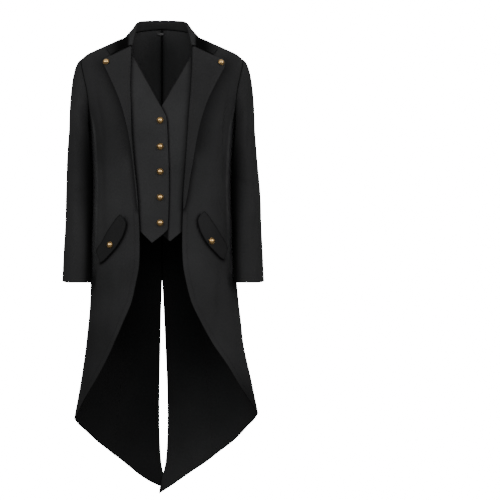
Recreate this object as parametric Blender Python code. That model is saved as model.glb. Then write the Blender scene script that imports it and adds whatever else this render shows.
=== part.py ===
"""A black steampunk tailcoat with a sewn-in waistcoat front, hollow and filled out as if worn.

Sizes are in millimetres and become metres where a mesh is made. +Z is up and the coat faces -Y. The
origin is between the wearer's shoulders, level with the shoulder seams' neck ends, where the coat is
carried. Every piece of cloth is a closed wall. A point on the coat's body is named by its turn, the
angle round the figure (0 centre back, 90 the wearer's left side, 180 centre front), and by its fall,
the way down the cloth from the shoulder line.
"""

from collections import namedtuple
import math

import bpy
import numpy as np

MM = 0.001

# Cloth and seams
CLOTH = 2.0
VEST_CLOTH = 1.6
COLLAR_CLOTH = 2.2
SEAM = 0.4
LAID_ON = 0.3

# Rows and columns of the panels' grids
SKIRT_ROWS = 14
SHOULDER_COLUMNS = 8
NECK_COLUMNS = 4
FRONT_ARMHOLE_ROWS = 10
SIDE_ARMHOLE_COLUMNS = 4
BACK_ARMHOLE_ROWS = 8
HEAD_ROWS = 4
ARM_ROWS = 11
BUTTON_SEGMENTS = 10
EDGE_SAMPLES = 400

# Body: half width and depths of the coat, level by level
Section = namedtuple("Section", "z half_width front back")
BODY = (
    Section(60, 235, 58, 60),
    Section(12, 235, 66, 68),
    Section(-40, 235, 82, 84),
    Section(-90, 233, 101, 98),
    Section(-145, 225, 114, 108),
    Section(-190, 215, 120, 111),
    Section(-245, 201, 122, 109),
    Section(-320, 194, 118, 101),
    Section(-401, 190.5, 111, 93),
    Section(-470, 191.5, 111, 97),
    Section(-547, 194, 114, 106),
    Section(-620, 195.5, 117, 113),
    Section(-682, 198, 119, 118),
    Section(-760, 203, 121, 123),
    Section(-843, 214.5, 123, 128),
    Section(-971, 235, 127, 136),
    Section(-1056, 251, 130, 142),
    Section(-1150, 266, 134, 148),
    Section(-1270, 284, 138, 155),
)
SQUARENESS = 2.3  # exponent of the body's oval sections, 2 being an ellipse

# Shoulder line, seen from the front, and how far down the cloth rounds over it
Ridge = namedtuple("Ridge", "x z")
SHOULDER = (
    Ridge(0, 112),
    Ridge(20, 92),
    Ridge(40, 62),
    Ridge(60, 26),
    Ridge(75, 2),
    Ridge(92, -7),
    Ridge(110, -15.5),
    Ridge(145, -33),
    Ridge(180, -50),
    Ridge(219, -70),
    Ridge(236, -80),
)
RIDGE_HALF_WIDTH = 235
RIDGE_Y = 5
ROUNDING = 110
SHOULDER_POINT_X = 224
NECK_POINT_X = 75

# Armhole: how far it spreads before and behind the side, by the angle from its top
Spread = namedtuple("Spread", "angle degrees")
ARMHOLE = (
    Spread(0, 18.84),
    Spread(30, 19.2),
    Spread(60, 21.8),
    Spread(90, 23.5),
    Spread(135, 16),
    Spread(160, 7.5),
    Spread(180, 0),
)
UNDERARM_Z = -245
SIDE_BACK_MEETS_ARMHOLE = 250  # angle round the armhole, behind

# Edges and seams seen from the front: distance from the centre line at each level
Edge = namedtuple("Edge", "x z")
FRONT_EDGE = (
    Edge(248, -1048),
    Edge(232, -1020),
    Edge(203, -972),
    Edge(172, -917),
    Edge(138, -858),
    Edge(104, -792),
    Edge(80, -740),
    Edge(65, -681),
    Edge(58, -645),
    Edge(55, -600),
    Edge(55, -547),
    Edge(57, -481),
    Edge(60, -425),
    Edge(66, -355),
    Edge(71.5, -285),
    Edge(75, -225),
    Edge(81, -150),
    Edge(84.5, -80),
    Edge(85, -37),
)
HEM = (
    Edge(251, -1050),
    Edge(240, -1075),
    Edge(200, -1111),
    Edge(150, -1146),
    Edge(91, -1189),
    Edge(36, -1229),
    Edge(0.4, -1252),
)
CHEST_Z = -285
BLADE_Z = -300
BACK_NECK = (Edge(75, 2), Edge(69, 4), Edge(60, 6), Edge(40, 9), Edge(20, 11), Edge(0, 12))
FRONT_NECK = (Edge(75, 2), Edge(78, -9), Edge(82, -24), Edge(85, -37))
VENT = (
    Edge(0, 12),
    Edge(0, -655),
    Edge(3.5, -760),
    Edge(7, -870),
    Edge(12, -1007),
    Edge(12, -1090),
    Edge(8, -1172),
    Edge(2, -1222),
    Edge(0.4, -1252),
)
Place = namedtuple("Place", "run x z")
Seam = namedtuple("Seam", "turn z")
SIDE_BACK_SEAM = (
    Seam(27, -1157),
    Seam(27, -1000),
    Seam(26, -800),
    Seam(25, -600),
    Seam(23.5, -480),
    Seam(23, -406),
    Seam(27, -350),
    Seam(41, -275),
    Seam(54, -220),
)

# The skirt hangs a little to the wearer's left, and the longer left tail lies in front at its tip
SWAY = 12
TILT = 0.03
SWAY_TOP_Z = -570
SWAY_BOTTOM_Z = -1080
TIP_SPREAD_Y = 3.2
TIP_DROP = 16
TIP_SPREAD_Z = -1180

# Sleeve: sections of the arm below the head, and the seams' angles from the outer side, forwards
Arm = namedtuple("Arm", "z x y half_x half_y")
ARM = (
    Arm(-262, 228.6, 4, 27.3, 73),
    Arm(-319, 227.9, 3, 32.1, 73),
    Arm(-380, 227.7, 1, 34.8, 71),
    Arm(-424, 228.1, -1, 35.8, 69),
    Arm(-490, 229.6, -5, 35.8, 65.5),
    Arm(-547, 231.4, -10, 35.5, 62),
    Arm(-615, 234.0, -16, 35.9, 58),
    Arm(-679, 237.0, -22, 35.8, 54),
)
FORE_SEAM = 126
HIND_SEAM = 272
HEAD_WAY = 100
ARMHOLE_PULL = 0.55
ARM_PULL = 0.75

# Soft folds across the sleeve's elbow and below its head
Wrinkle = namedtuple("Wrinkle", "angle z wide tall lean depth")
WRINKLES = (
    Wrinkle(262, -318, 45, 17, 0.30, -4),
    Wrinkle(250, -372, 50, 18, 0.25, -4),
    Wrinkle(200, -420, 60, 22, 0.00, -2.5),
    Wrinkle(285, -480, 45, 30, -0.30, -2),
    Wrinkle(100, -470, 40, 26, -0.25, -2.5),
)

# Collar: its crease and its leaf's edge at each column of the neckline, from the centre back
Station = namedtuple("Station", "crease_x crease_y crease_z edge_x edge_z front")
COLLAR = (
    Station(0, 57, 41, 0, 0, False),
    Station(24, 54, 40.5, 40, -3, False),
    Station(43, 46, 39, 73, -8.5, False),
    Station(57, 30, 36, 96, -11.5, False),
    Station(67, 6, 29, 104, -12.6, False),
    Station(71, -10, 20, 102, -13.5, True),
    Station(75.5, -27, 7, 98.5, -15, True),
    Station(80, -44, -13, 95.5, -25, True),
    Station(84.5, -60, -33.5, 92, -35.5, True),
)
COLLAR_ROLL = 3.2
LEAF_OUT = 5.4
LEAF_BOW = 1.8
NECK_SEAM = 1.8

# Lapel: where each row starts on the crease, where it ends on the outer edge
Turnback = namedtuple("Turnback", "crease_z edge_x edge_z")
LAPEL = (
    Turnback(-38.5, 163, -72),
    Turnback(-47, 166.5, -80),
    Turnback(-62, 161, -96),
    Turnback(-82, 149.5, -116),
    Turnback(-108, 135, -141),
    Turnback(-143, 118.5, -172),
    Turnback(-185, 103, -210),
    Turnback(-230, 91, -250),
    Turnback(-280, 82.5, -294),
    Turnback(-330, 76.5, -340),
    Turnback(-378, 71, -384),
    Turnback(-425, 66, -428),
    Turnback(-462, 61.5, -463),
)
LAPEL_OUT = 4.0
LAPEL_SHOULDER_OUT = 1.0
LAPEL_FLAT_WIDTH = 14
Roll = namedtuple("Roll", "share inwards out")
LAPEL_ROLL = (
    Roll(0, 2.9, 0.0),
    Roll(0, 2.5, 3.6),
    Roll(0.02, 0.0, 6.0),
    Roll(0.14, 0.0, 5.2),
    Roll(0.32, 0.0, 4.3),
    Roll(0.52, 0.0, 4.0),
    Roll(0.72, 0.0, 4.2),
    Roll(0.88, 0.0, 4.8),
    Roll(1, 0.0, 5.6),
)

# Waistcoat front, sewn in behind the crease: the right half laps over the left
VEST_MARGIN = 18
VEST_OUT = -5.0
VEST_UNDER_OUT = -7.6
VEST_BUTTON_X = -5
VEST_BUTTON_Z = (-239, -311, -379.5, -449.6, -519.5)
VEST_OVER = (
    Edge(-85.7, -50),
    Edge(-74.5, -71),
    Edge(-62, -93),
    Edge(-49, -117),
    Edge(-34, -144),
    Edge(-16, -177),
    Edge(7.5, -219),
    Edge(13, -235),
    Edge(16, -275),
    Edge(18, -325),
    Edge(19.5, -375),
    Edge(20, -425),
    Edge(19, -475),
    Edge(17.5, -512),
    Edge(16, -538),
)
VEST_UNDER = (
    Edge(85.7, -50),
    Edge(74, -71),
    Edge(61, -93),
    Edge(47, -117),
    Edge(31, -144),
    Edge(12, -177),
    Edge(-3, -202),
    Edge(-12, -222),
    Edge(-15, -260),
    Edge(-16, -305),
    Edge(-16, -355),
    Edge(-16, -405),
    Edge(-15, -455),
    Edge(-14, -500),
    Edge(-12, -540),
)
Point = namedtuple("Point", "share x z")
VEST_OVER_HEM = (
    Point(0, -74, -534),
    Point(0.2, -57, -546),
    Point(0.5, -28, -575),
    Point(0.8, 2, -552),
    Point(1, 16, -538),
)
VEST_UNDER_HEM = (
    Point(0, 74, -534),
    Point(0.24, 53, -546),
    Point(0.6, 22, -571),
    Point(0.85, 0, -552),
    Point(1, -12, -540),
)
VEST_HEM_ROWS = 3

# Pocket flap: its sewn edge and its free edge, from the front end to the side end
Flap = namedtuple("Flap", "sewn_x sewn_z free_x free_z")
FLAP = (
    Flap(116, -487, 99, -506),
    Flap(119, -491, 94.5, -519),
    Flap(127, -501.5, 97.5, -534),
    Flap(141, -520, 109, -559),
    Flap(154, -537.5, 124, -583),
    Flap(168, -556, 142.5, -604),
    Flap(181, -573, 161, -621),
    Flap(188, -582, 173, -629),
)
FLAP_OUT = (3.2, 4.3, 4.1, 4.0, 4.3, 4.8)
FLAP_BUTTON = Edge(138, -575)

# Back belt
BELT_LENGTH = 180
BELT_HEIGHT = 40
BELT_Z = -406
BELT_SAG = 3
BELT_OUT = 4.4
BELT_BUTTON_X = 71
BELT_ROWS = 4
BELT_COLUMNS = 12

LAPEL_BUTTON = Edge(154, -77.5)
BUTTON = 18
CUFF_BUTTON = 15
CUFF_BUTTON_ANGLE = 288
CUFF_BUTTON_RISES = (30, 56.5, 83)
Turned = namedtuple("Turned", "radius rise")
BUTTON_PROFILE = (
    Turned(0.26, 0.0),
    Turned(0.26, 0.07),
    Turned(0.94, 0.09),
    Turned(1.0, 0.16),
    Turned(0.76, 0.27),
    Turned(0.45, 0.43),
)

LABEL_WIDTH = 17
LABEL_HEIGHT = 6
LABEL_CLOTH = 0.6
LABEL_X = -4.5
LABEL_Z = 2

# Soft folds of the body, in degrees round and millimetres deep, along a line that leans
Fold = namedtuple("Fold", "turn lean top bottom width depth")
FOLDS = (
    Fold(116, 0.00, -200, -560, 5, -2.5),
    Fold(128, 0.01, -330, -900, 7, -2.5),
    Fold(108, -0.01, -560, -1040, 8, 4),
    Fold(140, 0.03, -640, -900, 7, 2.5),
    Fold(72, -0.03, -330, -760, 6, -5),
    Fold(60, -0.02, -480, -1080, 9, 4),
    Fold(44, 0.00, -560, -1120, 7, -4),
    Fold(14, 0.00, -600, -1200, 6, 3),
    Fold(48, 0.02, -120, -330, 6, 2.5),
)


def curve(rows, key, value):
    """A smooth function through two columns of a table."""
    pairs = sorted((getattr(row, key), getattr(row, value)) for row in rows)
    xs, ys = (np.array(column, float) for column in zip(*pairs))
    slopes = np.gradient(ys, xs)

    def read(at):
        at = np.asarray(at, float)
        i = np.clip(np.searchsorted(xs, at) - 1, 0, len(xs) - 2)
        step = xs[i + 1] - xs[i]
        t = (at - xs[i]) / step
        inside = np.clip(t, 0, 1)
        rise = ys[i + 1] - ys[i]
        cubic = ys[i] + inside * step * slopes[i] + inside**2 * (
            3 * rise - step * (2 * slopes[i] + slopes[i + 1])
        ) + inside**3 * (step * (slopes[i] + slopes[i + 1]) - 2 * rise)
        return cubic + (t - inside) * step * np.where(t > 1, slopes[i + 1], slopes[i])

    return read


half_width = curve(BODY, "z", "half_width")
front_depth = curve(BODY, "z", "front")
back_depth = curve(BODY, "z", "back")
shoulder_line = curve(SHOULDER, "x", "z")
armhole_spread = curve(ARMHOLE, "angle", "degrees")


def smoothstep(x, start, end):
    t = np.clip((np.asarray(x, float) - start) / (end - start), 0, 1)
    return t * t * (3 - 2 * t)


def oval(angle_part):
    """A sine or cosine bent to the body's squarer oval."""
    return np.sign(angle_part) * np.abs(angle_part) ** (2 / SQUARENESS)


def ridge(turn):
    """Height of the shoulder line above this turn."""
    return shoulder_line(RIDGE_HALF_WIDTH * np.abs(oval(np.sin(np.radians(turn)))))


def height(turn, fall):
    over = ROUNDING * (1 - np.cos(np.clip(np.abs(fall) / ROUNDING, 0, math.pi / 2)))
    return ridge(turn) - over - np.maximum(np.abs(fall) - ROUNDING * math.pi / 2, 0)


def fall_at(turn, z):
    """The fall that reaches height z."""
    drop = np.maximum(ridge(turn) - z, 0)
    over = ROUNDING * np.arccos(np.clip(1 - drop / ROUNDING, 0, 1))
    return over + np.maximum(drop - ROUNDING, 0)


def turn_at(x, z, front):
    """The turn at a distance left or right of the centre line, on the front or the back."""
    part = np.clip(np.abs(x) / half_width(z), 0, 1) ** (SQUARENESS / 2)
    angle = np.degrees(np.arcsin(part))
    turn = 180 - angle if front else angle
    return np.where(np.asarray(x) < -1e-6, 360 - turn, turn)


def across_at(turn, z):
    """Distance from the centre line at a turn and height."""
    return float(half_width(z) * oval(np.sin(np.radians(turn))))


def folds_at(turn, z):
    """How far the soft folds push the cloth out, the same on both sides."""
    side = 180 - np.abs(180 - np.mod(turn, 360))
    out = np.zeros(np.broadcast(turn, z).shape)
    for fold in FOLDS:
        middle = (fold.top + fold.bottom) / 2
        across = (side - fold.turn - fold.lean * (z - middle)) / fold.width
        along = smoothstep(z, fold.bottom, middle) * smoothstep(z, fold.top, middle)
        out = out + fold.depth * np.exp(-across**2) * along
    return out


def surface(turn, fall, side=None):
    """Points on the outside of the coat's body; side is 1 on the left half and -1 on the right."""
    turn, fall = np.broadcast_arrays(np.asarray(turn, float), np.asarray(fall, float))
    if side is None:
        side = np.where(turn > 180, -1, 1)
    z = height(turn, fall)
    rounded = np.sin(np.clip(fall / ROUNDING, -math.pi / 2, math.pi / 2))
    sine, cosine = np.sin(np.radians(turn)), np.cos(np.radians(turn))
    depth = np.where(cosine > 0, back_depth(z), front_depth(z))
    x = half_width(z) * oval(sine)
    y = RIDGE_Y * (1 - np.abs(rounded)) + depth * oval(cosine) * rounded
    grow = 1 + folds_at(turn, z) / np.hypot(x, y).clip(60)
    hang = smoothstep(z, SWAY_TOP_Z, SWAY_BOTTOM_Z)
    tip = smoothstep(z, TIP_SPREAD_Z, HEM[-1].z)
    spread = -side * TIP_SPREAD_Y * tip
    lower = TILT * x * hang - np.where(side > 0, TIP_DROP, 0) * tip
    return np.stack([x * grow + SWAY * hang, y * grow + spread, z + lower], axis=-1)


def unit(vectors):
    return vectors / np.linalg.norm(vectors, axis=-1, keepdims=True)


def normal(turn, fall):
    """Outward normals of the body."""
    side = np.where(np.asarray(turn) > 180, -1, 1)
    along = surface(turn + 0.05, fall, side) - surface(turn - 0.05, fall, side)
    down = surface(turn, fall + 1, side) - surface(turn, fall - 1, side)
    return unit(np.cross(along, down))


def clear_scene(name):
    for item in list(bpy.data.objects):
        bpy.data.objects.remove(item)
    bpy.context.scene.name = name


def material(name, colour, roughness, metallic=0.0):
    made = bpy.data.materials.new(name)
    made.use_nodes = True
    shader = made.node_tree.nodes["Principled BSDF"]
    shader.inputs["Base Color"].default_value = (*colour, 1)
    shader.inputs["Roughness"].default_value = roughness
    shader.inputs["Metallic"].default_value = metallic
    return made


def add_mesh(name, points, faces, finish):
    """One named object from points in millimetres, with its faces turned outwards."""
    points = np.asarray(points, float).reshape(-1, 3)
    volume = sum(
        np.dot(points[f[0]], np.cross(points[f[i]], points[f[i + 1]]))
        for f in faces
        for i in range(1, len(f) - 1)
    )
    if volume < 0:
        faces = [tuple(reversed(f)) for f in faces]
    mesh = bpy.data.meshes.new(name)
    mesh.from_pydata((points * MM).tolist(), [], faces)
    own = finish.copy()
    own.name = name
    mesh.materials.append(own)
    mesh.shade_smooth()
    mesh.set_sharp_from_angle(angle=math.radians(35))
    made = bpy.data.objects.new(name, mesh)
    bpy.context.scene.collection.objects.link(made)
    return made


def wall(name, outside, inside, finish):
    """A closed wall between two grids of points with the same rows and columns."""
    rows, columns = outside.shape[:2]
    count = rows * columns

    def outer(i, j):
        return i * columns + j

    def inner(i, j):
        return count + i * columns + j

    faces = []
    for i in range(rows - 1):
        for j in range(columns - 1):
            for corner in ((i, j + 1), (i + 1, j)):
                ring = ((i, j), corner, (i + 1, j + 1))
                ring = ring if corner[0] == i else ring[::-1]
                faces.append(tuple(outer(*at) for at in ring))
                faces.append(tuple(inner(*at) for at in ring[::-1]))
    rim = [(0, j) for j in range(columns)] + [(i, columns - 1) for i in range(1, rows)]
    rim += [(rows - 1, j) for j in range(columns - 2, -1, -1)]
    rim += [(i, 0) for i in range(rows - 2, 0, -1)]
    for here, there in zip(rim, rim[1:] + rim[:1]):
        quad = (outer(*there), outer(*here), inner(*here), inner(*there))
        first = 0 if here > there else 1
        faces.append((quad[first], quad[first + 1], quad[first + 2]))
        faces.append((quad[first], quad[first + 2], quad[(first + 3) % 4]))
    return add_mesh(name, np.concatenate([outside, inside]), faces, finish)


def tangents(points):
    """Directions along a line of points."""
    return unit(np.gradient(points, axis=0))


def trimmed(grid, normals, sides, by=SEAM / 2):
    """The grid with the named sides drawn in by half a seam's gap, across the seam."""
    grid = grid.copy()
    edges = {
        "first_column": (grid[:, 0], grid[:, 1], normals[:, 0]),
        "last_column": (grid[:, -1], grid[:, -2], normals[:, -1]),
        "first_row": (grid[0], grid[1], normals[0]),
        "last_row": (grid[-1], grid[-2], normals[-1]),
    }
    moves = []
    for side in sides:
        edge, beside, up = edges[side]
        across = unit(np.cross(up, tangents(edge)))
        across *= np.sign(np.sum(across * (beside - edge)))
        moves.append((edge, across * by))
    for edge, move in moves:
        edge += move
    return grid


def mixed(left, right, share):
    """Straight rows from a left edge to a right edge."""
    return left[:, None] * (1 - share) + right[:, None] * share


def filled(left, right, bottom, top, fade_top, fade_bottom):
    """A grid of turns and falls inside four edges, each a pair of arrays."""
    share = np.linspace(0, 1, len(top[0]))
    pieces = []
    for k in range(3):
        ends = [edge[k] for edge in (left, right, bottom, top)]
        bow_top = ends[3] - (ends[3][0] * (1 - share) + ends[3][-1] * share)
        bow_bottom = ends[2] - (ends[2][0] * (1 - share) + ends[2][-1] * share)
        rows = mixed(ends[0], ends[1], share)
        pieces.append(rows + fade_top[:, None] * bow_top + fade_bottom[:, None] * bow_bottom)
    turn, z, fall = pieces
    kept = fade_top[:, None]
    return turn, (1 - kept) * fall_at(turn, z) + kept * fall


def seam_line(turn, z):
    """An edge as its turns, heights and falls."""
    turn, z = np.broadcast_arrays(np.asarray(turn, float), np.asarray(z, float))
    fall = fall_at(turn, z)
    return turn, height(turn, fall), fall


def joined(*lines):
    """Edges end to end, each corner kept once."""
    return tuple(
        np.concatenate([line[k] if n == 0 else line[k][1:] for n, line in enumerate(lines)])
        for k in range(3)
    )


def along_edge(rows, count, front):
    """Places evenly spaced along the cloth's edge, which is drawn as seen from the front."""
    xs = np.array([row.x for row in rows], float)
    zs = np.array([row.z for row in rows], float)
    run = np.concatenate([[0], np.cumsum(np.hypot(np.diff(xs), np.diff(zs)))])
    places = [Place(*values) for values in zip(run, xs, zs)]
    fine = run[-1] * np.linspace(0, 1, EDGE_SAMPLES)
    x, z = curve(places, "run", "x")(fine), curve(places, "run", "z")(fine)
    turn = turn_at(x, z, front)
    steps = np.linalg.norm(np.diff(surface(turn, fall_at(turn, z)), axis=0), axis=-1)
    length = np.concatenate([[0], np.cumsum(steps)])
    at = np.interp(length[-1] * np.linspace(0, 1, count + 1), length, fine)
    x, z = curve(places, "run", "x")(at), curve(places, "run", "z")(at)
    return seam_line(turn_at(x, z, front), z)


def armhole_line(angles):
    """The armhole seam at angles from its top, forwards, round under the arm and up behind."""
    angles = np.asarray(angles, float)
    half_height = (shoulder_line(SHOULDER_POINT_X) - UNDERARM_Z) / 2
    z = UNDERARM_Z + half_height * (1 + np.cos(np.radians(angles)))
    spread = armhole_spread(180 - np.abs(180 - angles))
    turn = np.where(angles <= 180, 90 + spread, 90 - spread)
    return seam_line(turn, z)


def side_seam():
    z = np.linspace(FRONT_EDGE[0].z, UNDERARM_Z, SKIRT_ROWS + 1)
    return seam_line(np.full(z.shape, 90.0), z)


def side_back_seam():
    meeting = armhole_line([SIDE_BACK_MEETS_ARMHOLE])
    rows = SIDE_BACK_SEAM + (Seam(float(meeting[0][0]), float(meeting[1][0])),)
    share = np.linspace(0, 1, SKIRT_ROWS + 1)
    z = rows[0].z + (rows[-1].z - rows[0].z) * share
    line = seam_line(curve(rows, "z", "turn")(z), z)
    for part, end in zip(line, meeting):
        part[-1] = end[0]
    return line


def shoulder_seam(front):
    x = np.linspace(SHOULDER_POINT_X, NECK_POINT_X, SHOULDER_COLUMNS + 1)
    angle = np.degrees(np.arcsin((x / RIDGE_HALF_WIDTH) ** (SQUARENESS / 2)))
    return (180 - angle if front else angle), shoulder_line(x), np.zeros(x.shape)


def hem_between(first_x, last_x, count):
    x = np.linspace(first_x, last_x, count + 1)
    z = curve(HEM, "x", "z")(x)
    return seam_line(turn_at(x, z, False), z)


def fade(count, first, last):
    """0 up to row first, rising to 1 at row last."""
    return smoothstep(np.arange(count), first, last)


def laid(x, z, front, out):
    """Points over the body, x from the centre line and z, moved out from the cloth, and normals."""
    x, z, out = np.broadcast_arrays(np.asarray(x, float), np.asarray(z, float), np.asarray(out, float))
    turn = turn_at(x, z, front)
    fall = fall_at(turn, z)
    normals = normal(turn, fall)
    return surface(turn, fall) + normals * out[..., None], normals


def grid_normals(points, like):
    """Normals of a grid of points, on the same side as those given."""
    down, across = np.gradient(points, axis=0), np.gradient(points, axis=1)
    normals = unit(np.cross(down, across))
    return normals * np.sign(np.sum(normals * like))


def laid_sheet(name, x, z, front, out, finish, thickness=CLOTH, rolled=0.0):
    """A wall of cloth that lies over or under the body's cloth, rolled where its rows say so."""
    outside, normals = laid(x, z, front, out)
    normals = unit(normals * (1 - rolled) + grid_normals(outside, normals) * rolled)
    return wall(name, outside, outside - normals * thickness, finish)


def turned(name, foot, axis, diameter, finish):
    """A domed button turned about its axis, its foot just off the cloth."""
    radius = diameter / 2
    axis = unit(np.asarray(axis, float))
    side = unit(np.cross(axis, (0.0, 0.0, 1.0)))
    up = np.cross(axis, side)
    around = np.radians(np.arange(BUTTON_SEGMENTS) * 360 / BUTTON_SEGMENTS)
    ring = np.cos(around)[:, None] * side + np.sin(around)[:, None] * up
    points = [foot + axis * LAID_ON]
    for row in BUTTON_PROFILE:
        points.extend(foot + axis * (LAID_ON + row.rise * diameter) + ring * row.radius * radius)
    points.append(foot + axis * (LAID_ON + 0.53 * diameter))
    faces = []
    count = BUTTON_SEGMENTS
    for k in range(count):
        n = (k + 1) % count
        faces.append((0, 1 + n, 1 + k))
        for level in range(len(BUTTON_PROFILE) - 1):
            here, above = 1 + level * count, 1 + (level + 1) * count
            faces.append((here + k, here + n, above + n, above + k))
        last = 1 + (len(BUTTON_PROFILE) - 1) * count
        faces.append((last + k, last + n, len(points) - 1))
    return add_mesh(name, points, faces, finish)


def panel(name, grid, sides, finish, mirror, moved_out=0.0, thickness=CLOTH):
    """A wall of cloth on the body's surface, for the left side or mirrored for the right."""
    turn, fall = grid
    if mirror:
        turn = 360 - turn
    normals = normal(turn, fall)
    outside = surface(turn, fall) + normals * moved_out
    inside = outside - normals * thickness
    if sides:
        outside = trimmed(outside, normals, sides)
        inside = trimmed(inside, normals, sides)
    return wall(name, outside, inside, finish)


def front_grid():
    """The front, from the side seam and armhole to the crease where the lapel turns back."""
    left = joined(side_seam(), armhole_line(np.linspace(180, 0, FRONT_ARMHOLE_ROWS + 1)))
    rows = len(left[0])
    split = [n for n, row in enumerate(FRONT_EDGE) if row.z == CHEST_Z][0]
    skirt = along_edge(FRONT_EDGE[:split + 1], SKIRT_ROWS, True)
    chest = along_edge(FRONT_EDGE[split:], FRONT_ARMHOLE_ROWS - NECK_COLUMNS, True)
    neck = along_edge(FRONT_NECK[::-1], NECK_COLUMNS, True)
    right = joined(skirt, chest, neck)
    top = shoulder_seam(True)
    bottom = tuple(np.linspace(a[0], b[0], SHOULDER_COLUMNS + 1) for a, b in zip(left, right))
    return filled(left, right, bottom, top, fade(rows, SKIRT_ROWS - 2, rows - 1), np.zeros(rows))


def side_back_grid():
    """The side body, from the side seam to the side-back seam, up to the armhole."""
    left, right = side_seam(), side_back_seam()
    top = armhole_line(np.linspace(180, SIDE_BACK_MEETS_ARMHOLE, SIDE_ARMHOLE_COLUMNS + 1))
    hem_end = across_at(right[0][0], right[1][0])
    hem = hem_between(HEM[0].x, hem_end, SIDE_ARMHOLE_COLUMNS)
    rows = SKIRT_ROWS + 1
    for part, first, last in zip(hem, left, right):
        part[0], part[-1] = first[0], last[0]
    return filled(left, right, hem, top, fade(rows, rows - 5, rows - 1), 1 - fade(rows, 0, rows - 6))


def back_grid():
    """Half the back with its tail, from the side-back seam and armhole to the centre."""
    angles = np.linspace(SIDE_BACK_MEETS_ARMHOLE, 360, BACK_ARMHOLE_ROWS + 1)
    left = joined(side_back_seam(), armhole_line(angles))
    rows = len(left[0])
    z = np.concatenate([
        np.linspace(VENT[-1].z, BLADE_Z, SKIRT_ROWS + 1),
        BLADE_Z + (VENT[0].z - BLADE_Z) * np.linspace(0, 1, BACK_ARMHOLE_ROWS + 1)[1:] ** 0.8,
    ])
    x = np.where(z > VENT[1].z, 0, curve(VENT, "z", "x")(z))
    right = seam_line(turn_at(x, z, False), z)
    top = joined(shoulder_seam(False), along_edge(BACK_NECK, NECK_COLUMNS, False))
    hem_start = across_at(left[0][0], left[1][0])
    hem = hem_between(hem_start, HEM[-1].x, len(top[0]) - 1)
    for part, first, last in zip(hem, left, right):
        part[0], part[-1] = first[0], last[0]
    fade_top = fade(rows, SKIRT_ROWS - 1, rows - 1)
    return filled(left, right, hem, top, fade_top, 1 - fade(rows, 0, SKIRT_ROWS - 4))


def sleeve_ring(angle, z):
    around = np.radians(angle)
    x = curve(ARM, "z", "x")(z) + curve(ARM, "z", "half_x")(z) * oval(np.cos(around))
    y = curve(ARM, "z", "y")(z) - curve(ARM, "z", "half_y")(z) * oval(np.sin(around))
    return np.stack([x, y, z], axis=-1)


def sleeve_surface(angle, way):
    """Points on the left sleeve: the head's way runs to HEAD_WAY, then on down the arm in mm."""
    angle, way = np.broadcast_arrays(np.asarray(angle, float), np.asarray(way, float))
    turn, _, fall = armhole_line(np.mod(angle, 360))
    start = surface(turn, fall)
    arm_top = np.full(angle.shape, float(ARM[0].z))
    end = sleeve_ring(angle, arm_top)
    t = np.clip(way / HEAD_WAY, 0, 1)[..., None]
    reach = np.linalg.norm(end - start, axis=-1, keepdims=True)
    side = -0.12 * np.sin(np.radians(angle))
    out = unit(np.stack([np.full(side.shape, 0.93), side, np.full(side.shape, -0.37)], axis=-1))
    down = np.array([0.02, 0.0, -1.0])
    head = start * (2 * t**3 - 3 * t**2 + 1) + end * (3 * t**2 - 2 * t**3)
    head = head + out * reach * ARMHOLE_PULL * (t**3 - 2 * t**2 + t)
    head = head + down * reach * ARM_PULL * (t**3 - t**2)
    arm = sleeve_ring(angle, ARM[0].z - np.maximum(way - HEAD_WAY, 0))
    points = np.where((way < HEAD_WAY)[..., None], head, arm)
    centre = curve(ARM, "z", "x")(points[..., 2]), curve(ARM, "z", "y")(points[..., 2])
    outwards = np.stack([points[..., 0] - centre[0], points[..., 1] - centre[1]], axis=-1)
    outwards = unit(outwards)
    push = np.zeros(angle.shape)
    for fold in WRINKLES:
        round_it = (np.mod(angle - fold.angle + 180, 360) - 180)
        level = (points[..., 2] - fold.z - fold.lean * round_it) / fold.tall
        push = push + fold.depth * np.exp(-level**2 - (round_it / fold.wide) ** 2)
    points[..., :2] += outwards * push[..., None]
    return points


def sleeve_normal(angle, way):
    inner = np.clip(way, 1, None)
    along = sleeve_surface(angle + 0.5, inner) - sleeve_surface(angle - 0.5, inner)
    down = sleeve_surface(angle, inner + 1) - sleeve_surface(angle, inner - 1)
    return unit(np.cross(along, down))


def sleeve_piece(name, angles, finish, mirror):
    head = HEAD_WAY * np.linspace(0, 1, HEAD_ROWS + 1)
    arm = HEAD_WAY + (ARM[0].z - ARM[-1].z) * np.linspace(0, 1, ARM_ROWS + 1)[1:]
    way = np.concatenate([head, arm])[:, None]
    angle = np.asarray(angles, float)[None, :]
    angle, way = np.broadcast_arrays(angle, way)
    outside = sleeve_surface(angle, way)
    normals = sleeve_normal(angle, way)
    inside = outside - normals * CLOTH
    seams = ["first_column", "last_column", "first_row"]
    outside, inside = trimmed(outside, normals, seams), trimmed(inside, normals, seams)
    if mirror:
        outside = outside * (-1, 1, 1)
        inside = inside * (-1, 1, 1)
    return wall(name, outside, inside, finish)


def armhole_angles():
    front = np.linspace(0, 180, FRONT_ARMHOLE_ROWS + 1)
    side = np.linspace(180, SIDE_BACK_MEETS_ARMHOLE, SIDE_ARMHOLE_COLUMNS + 1)
    back = np.linspace(SIDE_BACK_MEETS_ARMHOLE, 360, BACK_ARMHOLE_ROWS + 1)
    return np.concatenate([front, side[1:], back[1:]])


def sleeves(side, finish, mirror):
    angles = armhole_angles()
    hind = angles[np.argmin(np.abs(angles - HIND_SEAM))]
    fore = angles[np.argmin(np.abs(angles - FORE_SEAM))]
    under = angles[(angles >= fore) & (angles <= hind)]
    top = np.concatenate([angles[(angles >= hind)] - 360, angles[(angles > 0) & (angles <= fore)]])
    sleeve_piece(f"top_sleeve_{side}", top, finish, mirror)
    sleeve_piece(f"under_sleeve_{side}", under, finish, mirror)


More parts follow.
